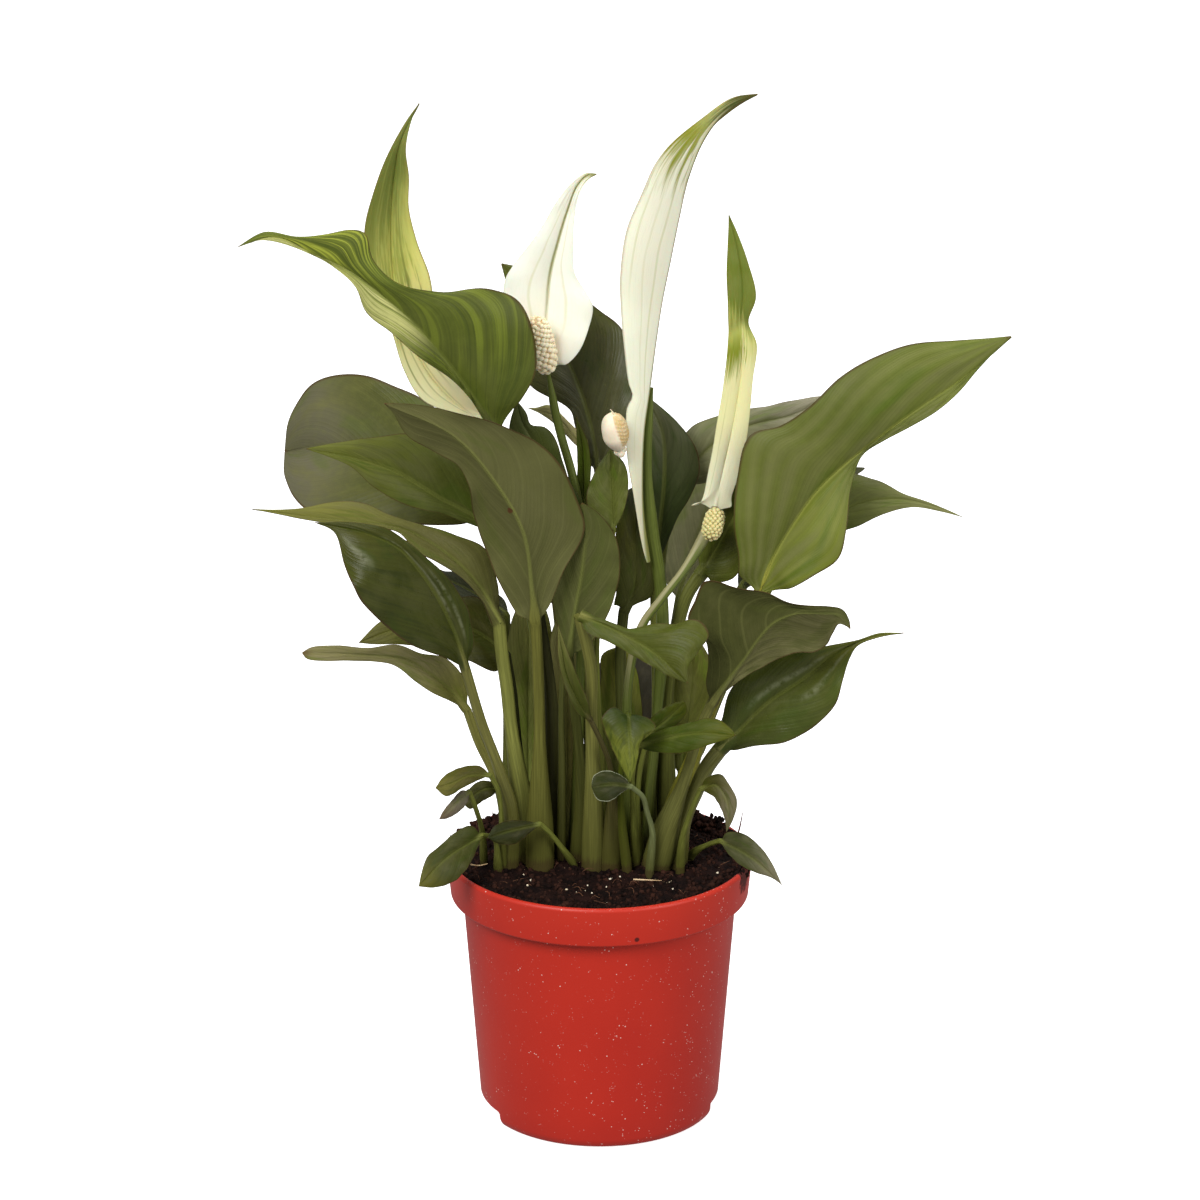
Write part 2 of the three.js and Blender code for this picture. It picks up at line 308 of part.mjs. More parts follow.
const SPATHES = [
  {name: "spathe_tall_left",
   rib: [[-31, 210.5, 9], [-39, 215, 11], [-47, 223, 13], [-53, 234, 15], [-57, 246, 15], [-58.5, 258, 14],
      [-58.5, 270, 12], [-57.5, 282, 10], [-55.5, 292, 8], [-50, 303, 6]],
   left: [[-41, 213.3], [-50.5, 217.5], [-55.5, 226], [-59, 238], [-63, 248], [-65.8, 258], [-66, 267],
      [-63.5, 277], [-59.5, 287.5], [-54, 297.5]],
   right: [[-36, 216.5], [-41.5, 223], [-46, 232], [-46.5, 243], [-48, 254], [-51.5, 264], [-53.4, 273],
      [-53.3, 282], [-54, 290], [-52.3, 298]],
   turn: [0, 0], fold: [-0.5, -0.5], wave: [0.2, 2, 0]},
  {name: "spathe_white",
   rib: [[-15, 224.5, 7], [-16.3, 232, 8.5], [-15.2, 241, 9], [-14, 254, 9], [-11.8, 263, 8], [-9.1, 272,
      7], [-6.1, 279.6, 6], [-3, 282.6, 5.3], [-0.6, 282.6, 5]],
   left: [[-19, 227], [-23, 235], [-26.9, 245], [-26.6, 252.5], [-24, 257], [-20, 262.3], [-16, 268],
      [-12.3, 274.5], [-8.2, 279.8], [-4, 282.9]],
   right: [[-12.2, 226.8], [-8.8, 228.3], [-5.6, 232], [-3.2, 238], [-1.9, 244.8], [-4, 249.2], [-7,
      254.5], [-7.3, 263], [-6.8, 272], [-5, 278.5], [-2.5, 281.6]],
   turn: [0, 0], fold: [-0.4, -0.4], wave: [0.3, 2, 0]},
  {name: "spathe_tallest",
   rib: [[14.2, 167.5, 3.6], [13.1, 177, 2.4], [12.5, 186, 1.8], [12.4, 197, 1.8], [12.8, 208, 2.4], [14.3,
      220, 3.6], [16, 234, 4], [17.7, 246, 4], [20, 258, 3], [22.3, 270, 2], [25, 282, 1], [29.5, 293, 0],
      [35, 300, -1], [44.5, 305.5, -2]],
   left: [[13, 171], [11.2, 180], [9.6, 190], [8, 200], [7.5, 209], [7.9, 215], [9.5, 218.6], [8.4, 222],
      [7, 232], [6.2, 243], [5.8, 254], [7.5, 266], [11.5, 276.5], [15.5, 285.5], [21, 292.2], [28.5,
      298.5], [37, 304.3]],
   right: [[13.6, 172], [12.4, 183], [11.3, 195], [10.2, 207], [10.8, 221], [9.7, 233], [9, 244], [9, 254],
      [10.8, 265], [14.5, 274.5], [18.5, 283], [24, 290], [31, 296], [38.5, 302]],
   turn: [0, 0], fold: [-0.75, 0.75], wave: [0.2, 2, 0]},
  {name: "spathe_green",
   rib: [[33, 184.2, 12], [34.6, 193, 13], [37.5, 207, 14], [39.7, 221, 14], [40.9, 233, 13], [40.4, 243,
      12], [40.2, 252, 11], [38.8, 261, 10], [36.2, 271.5, 9]],
   left: [[29, 184.4], [30, 189.5], [31.5, 198], [33.4, 210], [35.2, 222], [36.2, 232], [36.3, 243], [35.8,
      254], [36, 262], [36.2, 268]],
   right: [[36.6, 184.4], [38, 189.5], [40.5, 198], [42.6, 211], [43.5, 223], [44.6, 233.5], [42.3, 240.2],
      [44.2, 247.5], [42, 257], [38.5, 266.5]],
   turn: [0, 0], fold: [-0.8, -0.8], wave: [0.2, 2, 0]},
];
const STALKS = [
  {name: "stem_tall_left", r: 1.5, root: [-16, 6.5], path: [[-15.6, 105, 6.5], [-16, 130, 6.5], [-18.6,
      155, 6.5], [-23, 182, 7], [-27, 200, 8], [-30.4, 210.2, 6.9], [-32, 212.2, 7]]},
  {name: "stem_white", r: 1.5, root: [-8, 1], path: [[-6.5, 105, 1], [-5.5, 140, 1], [-5, 165, 2], [-6,
      186, 3], [-8, 196, 4], [-11, 207, 5], [-12.8, 215, 5.4], [-14.6, 225.3, 4.8]]},
  {name: "stem_tallest", r: 1.6, root: [13.6, -1.2], path: [[15, 100, 2], [17, 125, 5], [18.3, 150, 7],
      [17.8, 164, 7.5], [16.1, 177, 6.4], [14.5, 190, 5.2], [13.9, 202, 5.2], [14.4, 212, 5.8], [15, 220,
      6.2]]},
  {name: "stem_green", r: 1.6, root: [7.6, -2.2], path: [[8.5, 105, -2], [8.2, 130, -2], [12, 149, -1],
      [18, 158, 0], [24, 166, 3], [29, 174.5, 7], [32.6, 182.6, 9.2], [33.2, 185.6, 9.3]]},
];
const SPADICES = [
  {name: "spadix_tall_left", r: 3.2, from: [-31.6, 212.8, 5.6], to: [-30.6, 226.5, 2.6]},
  {name: "spadix_white", r: 3.8, from: [-14.8, 225.9, 4.1], to: [-18, 241.3, -0.9]},
  {name: "spadix_tallest", r: 4, from: [5.8, 201.8, -4.4], to: [3.7, 213, -8]},
  {name: "spadix_green", r: 2.9, from: [33.8, 184.8, 6], to: [31.6, 176, 0.7]},
];

const V = (x, y, z) => new THREE.Vector3(x, y, z);
const TAU = Math.PI * 2;
const clamp = (x, a, b) => Math.min(b, Math.max(a, x));

function seen([u, v, y]) {
  const k = 1 + y / EYE_D;
  return V(u * k, y, EYE_Z + (v - EYE_Z) * k);
}

// smooth curve through points of two or three numbers, read by share of its length
function curve(points) {
  const c = new THREE.CatmullRomCurve3(points.map(([x, y, z = 0]) => V(x, y, z)), false, 'centripetal');
  return { at: (t) => c.getPointAt(clamp(t, 0, 1)).toArray(), total: c.getLength() };
}

// surface of a blade given by its rib and margins: t from base to tip, s from -1 (left) to 1 (right)
function bladeSurface(d) {
  const first = d.rib[0], last = d.rib[d.rib.length - 1];
  const rib = curve(d.rib);
  const side = ['left', 'right'].map((k) => curve([first.slice(0, 2), ...d[k], last.slice(0, 2)]));
  const pos = (t, s) => {
    const [u, v, y] = rib.at(t), k = s < 0 ? 0 : 1, a = Math.abs(s);
    const [mu, mv] = side[k].at(t);
    const du = mu - u, dv = mv - v, w = Math.hypot(du, dv);
    const bulge = 0.32 * (d.under ? 1 : -1) * w * a * (1 - a) * 1.2;
    const wave = d.wave[0] * a * a * Math.sin(TAU * (d.wave[1] * t + d.wave[2]) + (k ? 1.9 : 0))
      * Math.min(1, 4 * t) * Math.min(1, 5 * (1 - t)) * Math.min(1, w / 8);
    const depth = y + a * (d.turn[0] * du + d.turn[1] * dv + d.fold[k] * w) + bulge + wave;
    return seen([u + du * a, v + dv * a, depth]);
  };
  return { pos, length: rib.total };
}

// surface of a rear leaf: an arching rib and an even leaf outline
function rearSurface(d) {
  const a = V(...d.knee), b = V(...d.tip), mid = a.clone().lerp(b, 0.55);
  mid.z += d.rise;
  const c = new THREE.QuadraticBezierCurve3(a, mid, b);
  const flat = b.clone().sub(a).setZ(0).normalize(), across = V(-flat.y, flat.x, 0).negate();
  const pos = (t, s) => {
    const w = d.half * Math.pow(Math.sin(Math.PI * Math.pow(clamp(t, 0, 1), 0.72)), 0.8);
    const p = c.getPoint(t), up = c.getTangent(t).cross(across).multiplyScalar(-1), h = Math.abs(s);
    const ripple = 0.7 * h * h * Math.sin(TAU * 2.5 * t + s) * Math.sin(Math.PI * t);
    const lift = w * (0.45 * h - 0.3 * h * h) + ripple;
    return p.addScaledVector(across, s * w).addScaledVector(up.z < 0 ? up.negate() : up, lift);
  };
  return { pos, length: c.getLength() };
}

function meshFrom(name, rings, color, rough) {
  const k = rings[0].length, pos = [], idx = [];
  for (const ring of rings) for (const p of ring) pos.push(p.x, p.y, p.z);
  const half = k / 2;
  for (let i = 0; i + 1 < rings.length; i++) {
    for (let j = 0; j < k; j++) {
      const a = i * k + j, b = i * k + (j + 1) % k, c = a + k, d = b + k;
      // the lower face takes the mirrored diagonal, so that both faces split alike
      if (j < half) idx.push(a, d, b, a, c, d); else idx.push(a, c, b, b, c, d);
    }
  }
  const cap = (o, flip) => {
    for (let j = 0; j < half - 1; j++) {
      const q = [o + j, o + j + 1, o + k - 2 - j, o + k - 1 - j];
      if (flip) idx.push(q[0], q[1], q[2], q[0], q[2], q[3]); else idx.push(q[0], q[2], q[1], q[0], q[3], q[2]);
    }
  };
  cap(0, true);
  cap((rings.length - 1) * k, false);
  return finish(name, pos, idx, color, rough);
}

function volumeOf(pos, idx) {
  let v = 0;
  const a = V(), b = V(), c = V();
  for (let i = 0; i < idx.length; i += 3) {
    a.fromArray(pos, idx[i] * 3); b.fromArray(pos, idx[i + 1] * 3); c.fromArray(pos, idx[i + 2] * 3);
    v += a.dot(b.cross(c));
  }
  return v / 6;
}

function finish(name, pos, idx, color, rough) {
  if (volumeOf(pos, idx) < 0) {
    for (let i = 0; i < idx.length; i += 3) [idx[i + 1], idx[i + 2]] = [idx[i + 2], idx[i + 1]];
  }
  const g = new THREE.BufferGeometry();
  g.setAttribute('position', new THREE.Float32BufferAttribute(pos, 3));
  g.setIndex(idx);
  const flat = g.toNonIndexed();
  flat.computeVertexNormals();
  const m = new THREE.Mesh(flat, new THREE.MeshStandardMaterial({ color, roughness: rough, metalness: 0 }));
  m.name = name;
  return m;
}

// petiole rings from the soil up to the blade, sheathed wide at the foot, keeping one sense of left and right
function stemRings(path, radii, across, count, per) {
  const bottom = path[0], c = curve(path.slice(1).map((p) => p.toArray())), rings = [];
  for (let i = -1; i < count - 1; i++) {
    const t = Math.max(0, i) / (count - 2), p = i < 0 ? bottom.clone() : V(...c.at(t));
    const tan = i < 1 ? V(0, 0, 1) : V(...c.at(Math.min(1, t + 0.01))).sub(V(...c.at(t - 0.01))).normalize();
    const s = across.clone().addScaledVector(tan, -across.dot(tan)).normalize(), n = s.clone().cross(tan);
    const f = clamp((t - 0.12) / 0.5, 0, 1), r = radii[0] + (radii[1] - radii[0]) * f * f * (3 - 2 * f);
    const ring = [];
    for (let j = 0; j < per; j++) {
      const a = Math.PI - (j + 0.5) * TAU / per;
      ring.push(p.clone().addScaledVector(s, Math.cos(a) * r).addScaledVector(n, Math.sin(a) * r));
    }
    rings.push(ring);
  }
  return rings;
}

function bladeRings(pos, count, wide, from, thick, ridge) {
  const rings = [], e = 0.012;
  let keep = null;
  for (let i = 0; i < count; i++) {
    const f = i / (count - 1), t = from + (0.992 - from) * (0.82 * f + 0.18 * f * f * (3 - 2 * f));
    const top = [], low = [], mid = pos(t, 0);
    for (let j = 0; j < wide; j++) {
      const s = -1 + 2 * j / (wide - 1);
      let p = pos(t, s);
      const reach = p.distanceTo(mid), least = MIN_HALF * Math.abs(s);
      const l = pos(t, Math.max(-1, s - 0.25)), r = pos(t, Math.min(1, s + 0.25));
      const side = r.clone().sub(l);
      const along = pos(Math.min(1, t + e), s).sub(pos(Math.max(0, t - e), s));
      const n = side.clone().cross(along);
      if (n.length() > 1e-4) keep = n.normalize().clone();
      const nn = keep || V(0, -1, 0);
      if (s !== 0 && reach < least) p = mid.clone().addScaledVector(side.normalize(), Math.sign(s) * least);
      top.push(p.clone().addScaledVector(nn, thick / 2));
      const deep = thick / 2 + (s === 0 ? ridge * (1 - t) : 0);
      low.unshift(p.clone().addScaledVector(nn, -deep));
    }
    rings.push([...top, ...low]);
  }
  return rings;
}

const OLIVE = 0x59612f, GREEN = 0x3d5220, BRIGHT = 0x7a8a36, DARK = 0x2e3f1b;

function stemPath(d, end) {
  const [x, y] = d.root;
  const foot = [V(x, y, SOIL_Z - ROOT_DEPTH), V(x, y, SOIL_Z + 1.8)];
  return [...foot, ...(d.stem || d.path || []).map(seen), ...(end ? [end] : [])];
}

function leaf(d) {
  const { pos, length } = d.rib ? bladeSurface(d) : rearSurface(d);
  const wide = d.small ? 3 : 5, across = pos(0.12, 1).sub(pos(0.12, -1)).normalize();
  const stem = stemRings(stemPath(d, pos(0, 0)), [d.r, d.thin || (d.small ? 0.75 : 1.3)], across,
    d.small ? 6 : 8, wide * 2);
  const blade = bladeRings(pos, d.small ? 6 : clamp(Math.round(length / 7.5), 8, 12), wide,
    d.small ? 0.14 : 0.06, BLADE, RIDGE);
  const color = d.under ? OLIVE : d.small ? BRIGHT : d.knee ? DARK : GREEN;
  return meshFrom(d.name, [...stem, ...blade], color, 0.45);
}

function spathe(d) {
  const { pos, length } = bladeSurface(d);
  const color = d.name === 'spathe_green' || d.name === 'spathe_tall_left' ? 0xcfcf9a : 0xeeeae0;
  const rings = bladeRings(pos, clamp(Math.round(length / 8), 9, 13), 5, 0.02, BLADE + 0.1, RIDGE);
  return meshFrom(d.name, rings, color, 0.5);
}

function stalk(d) {
  return meshFrom(d.name, stemRings(stemPath(d), [d.r, 1.3], V(1, 0, 0), 12, 8), 0x6e7a3c, 0.45);
}

// spadix: a blunt club covered with small florets in staggered rows
function spadix(d) {
  const a = seen(d.from), b = seen(d.to), dir = b.clone().sub(a), len = dir.length(), per = 14, rows = 10;
  dir.normalize();
  const s = V(1, 0.1, 0.05).cross(dir).normalize(), n = s.clone().cross(dir), rings = [];
  for (let i = 0; i < rows; i++) {
    const t = i / (rows - 1);
    const club = d.r * Math.pow(Math.max(0.03, 1 - Math.pow(Math.abs(2 * t - 1), 3.2)), 0.5);
    const ring = [];
    for (let j = 0; j < per; j++) {
      const ang = (j + 0.5 * (i % 2)) * TAU / per, r = club * (1 + 0.05 * ((i + j) % 2 ? 1 : -1));
      ring.push(a.clone().addScaledVector(dir, len * t).addScaledVector(s, Math.cos(ang) * r)
        .addScaledVector(n, Math.sin(ang) * r));
    }
    rings.push(ring);
  }
  return meshFrom(d.name, rings, 0xd9cfa8, 0.7);
}

// ---- pot and soil with exact cuts ----
const wasm = await Module();
wasm.setup();
const { Manifold } = wasm;

function toManifold(g) {
  g = g.clone();
  g.deleteAttribute('normal'); g.deleteAttribute('uv');
  g = mergeVertices(g, 1e-4);
  return new Manifold(new wasm.Mesh({
    numProp: 3, vertProperties: new Float32Array(g.attributes.position.array),
    triVerts: new Uint32Array(g.index.array),
  }));
}

function fromManifold(m, name, color, rough) {
  const q = m.getMesh(), pos = Array.from(q.vertProperties), idx = Array.from(q.triVerts);
  return finish(name, pos, idx, color, rough);
}

function lathe(profile, segs) {
  const g = new THREE.LatheGeometry(profile.map(([r, z]) => new THREE.Vector2(r, z)), segs);
  g.rotateX(Math.PI / 2);
  return g;
}

function pot() {
  const band = POT_H - RIM_BAND, fillet = 0.9;
  const profile = [[0, 0], [BASE_R - 2.6, 0], [BASE_R - 0.9, 0.5], [BASE_R, 2.2], [BODY_TOP_R, band - 0.8],
    [BODY_TOP_R + 0.7, band], [RIM_LOW_R - 0.3, band], [RIM_LOW_R, band + 0.4], [RIM_R, POT_H - fillet],
    [RIM_R - 0.35, POT_H - 0.25], [RIM_R - fillet, POT_H], [RIM_R - WALL, POT_H - 0.2],
    [BODY_TOP_R - WALL + 1.6, band + 0.5], [BODY_TOP_R - WALL, band - 3], [BASE_R - WALL, 6],
    [BASE_R - WALL - 1.5, FLOOR], [0, FLOOR]];
  let body = toManifold(lathe(profile.slice().reverse(), 48));
  if (body.volume() < 0) body = toManifold(lathe(profile, 48));
  const notch = new THREE.BoxGeometry(14, NOTCH_W, NOTCH_H * 2);
  notch.translate(Math.sqrt(BASE_R ** 2 - NOTCH_W ** 2 / 4) + 5, 0, 0);
  for (const a of NOTCH_AT) {
    body = body.subtract(toManifold(notch.clone().rotateZ(a * Math.PI / 180)));
  }
  return fromManifold(body, 'pot', 0xae3626, 0.42);
}

// soil level: a low mound with lumps, kept down at the wall
const lump = (x, y) => 0.5 * Math.sin(x * 0.31 + 1) * Math.cos(y * 0.27) + 0.35 * Math.sin(x * 0.53 + y * 0.47);

function soil(roots) {
  const profile = [[0, FLOOR + 0.3], [BASE_R - WALL - 2, FLOOR + 0.3], [BASE_R - WALL - 0.35, 6.3],
    [BODY_TOP_R - WALL - 0.35, POT_H - RIM_BAND - 3.2], [SOIL_R - 1.4, POT_H - 5], [SOIL_R - 0.4, SOIL_Z - 1]];
  const rings = 5;
  for (let i = rings; i >= 0; i--) profile.push([(SOIL_R - 1) * i / rings, SOIL_Z + 0.6]);
  const g = lathe(profile, 28), p = g.attributes.position;
  for (let i = 0; i < p.count; i++) {
    if (p.getZ(i) < SOIL_Z) continue;
    const x = p.getX(i), y = p.getY(i), k = clamp((SOIL_R - Math.hypot(x, y)) / 8, 0, 1);
    p.setZ(i, SOIL_Z + (0.9 + lump(x, y)) * k + 0.004 * y * k);
  }
  let body = toManifold(g);
  if (body.volume() < 0) {
    const flip = g.index.array;
    for (let i = 0; i < flip.length; i += 3) [flip[i + 1], flip[i + 2]] = [flip[i + 2], flip[i + 1]];
    body = toManifold(g);
  }
  const bottom = SOIL_Z - ROOT_DEPTH - ROOT_GAP, tall = ROOT_DEPTH + 8;
  for (const { root, r } of roots) {
    const wide = (r + ROOT_GAP) / Math.cos(Math.PI / 7);
    const hole = new THREE.CylinderGeometry(wide, wide, tall, 7).rotateX(Math.PI / 2);
    body = body.subtract(toManifold(hole.translate(root[0], root[1], bottom + tall / 2)));
  }
  return fromManifold(body, 'soil', 0x2a1c18, 0.95);
}

const group = new THREE.Group();
group.name = 'potted_peace_lily';
group.add(pot(), soil([...LEAVES, ...BACK, ...STALKS]));
for (const d of [...LEAVES, ...BACK]) group.add(leaf(d));
for (const d of STALKS) group.add(stalk(d));
for (const d of SPATHES) group.add(spathe(d));
for (const d of SPADICES) group.add(spadix(d));
export default group;
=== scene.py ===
"""A potted peace lily in a red nursery pot: leaves, flower stems, spathes, spadices, soil and pot."""
import math
import random

import bpy
import numpy as np
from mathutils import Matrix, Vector, noise


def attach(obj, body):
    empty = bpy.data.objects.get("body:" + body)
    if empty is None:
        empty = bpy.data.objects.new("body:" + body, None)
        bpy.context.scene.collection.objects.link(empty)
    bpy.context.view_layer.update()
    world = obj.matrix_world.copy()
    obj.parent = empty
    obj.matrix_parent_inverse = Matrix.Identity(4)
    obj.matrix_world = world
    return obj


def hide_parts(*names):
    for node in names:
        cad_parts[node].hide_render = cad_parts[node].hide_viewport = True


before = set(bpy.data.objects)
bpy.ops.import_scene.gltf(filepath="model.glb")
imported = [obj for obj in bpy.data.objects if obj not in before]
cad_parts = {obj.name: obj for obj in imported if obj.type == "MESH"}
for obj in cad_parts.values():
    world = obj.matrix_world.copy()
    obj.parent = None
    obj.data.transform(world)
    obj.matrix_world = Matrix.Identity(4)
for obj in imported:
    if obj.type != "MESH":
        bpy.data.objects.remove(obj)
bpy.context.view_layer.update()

bpy.ops.object.select_all(action="DESELECT")

# ------------------------------------------------------------------ sizes, in millimetres
MM = 0.001
TAU = 2 * math.pi
EYE_BACK, EYE_HIGH = 1119, 519      # the camera, for which the outlines below are drawn
FOCUS, PICTURE, SENSOR = 4068, 1200, 36     # lens and picture width in pixels, sensor in millimetres
DIP = 17.9                          # degrees that the camera looks down
POT_HIGH, RIM_BAND = 79.5, 12
RIM_R, RIM_LOW_R, BODY_TOP_R, BASE_R = 45, 44, 40.4, 35.5
WALL, FLOOR = 1.6, 2
NOTCHES, NOTCH_WIDE, NOTCH_HIGH = (196, 356, 96), 22, 4.6
SOIL_HIGH, SOIL_R, ROOT_DEEP = 78.2, 42.9, 9
HEAP_R = 42                         # where the heaps of peat stand against the rim
POT_CREASE = 35                     # degrees past which an edge of the pot stays sharp
BLADE_FROM, BLADE_TO = 0.012, 0.996     # share of the rib at which a skin starts and ends
BELLY = 0.384                       # how far each half of a blade swells, as a share of its width
SWEEP = 0.42                        # how far forward the side veins run, as a share of the length
SHEATH = 0.5                        # how much wider a petiole is at the soil, as a share
SPIRAL = 2.399963                   # radians from one floret to the next

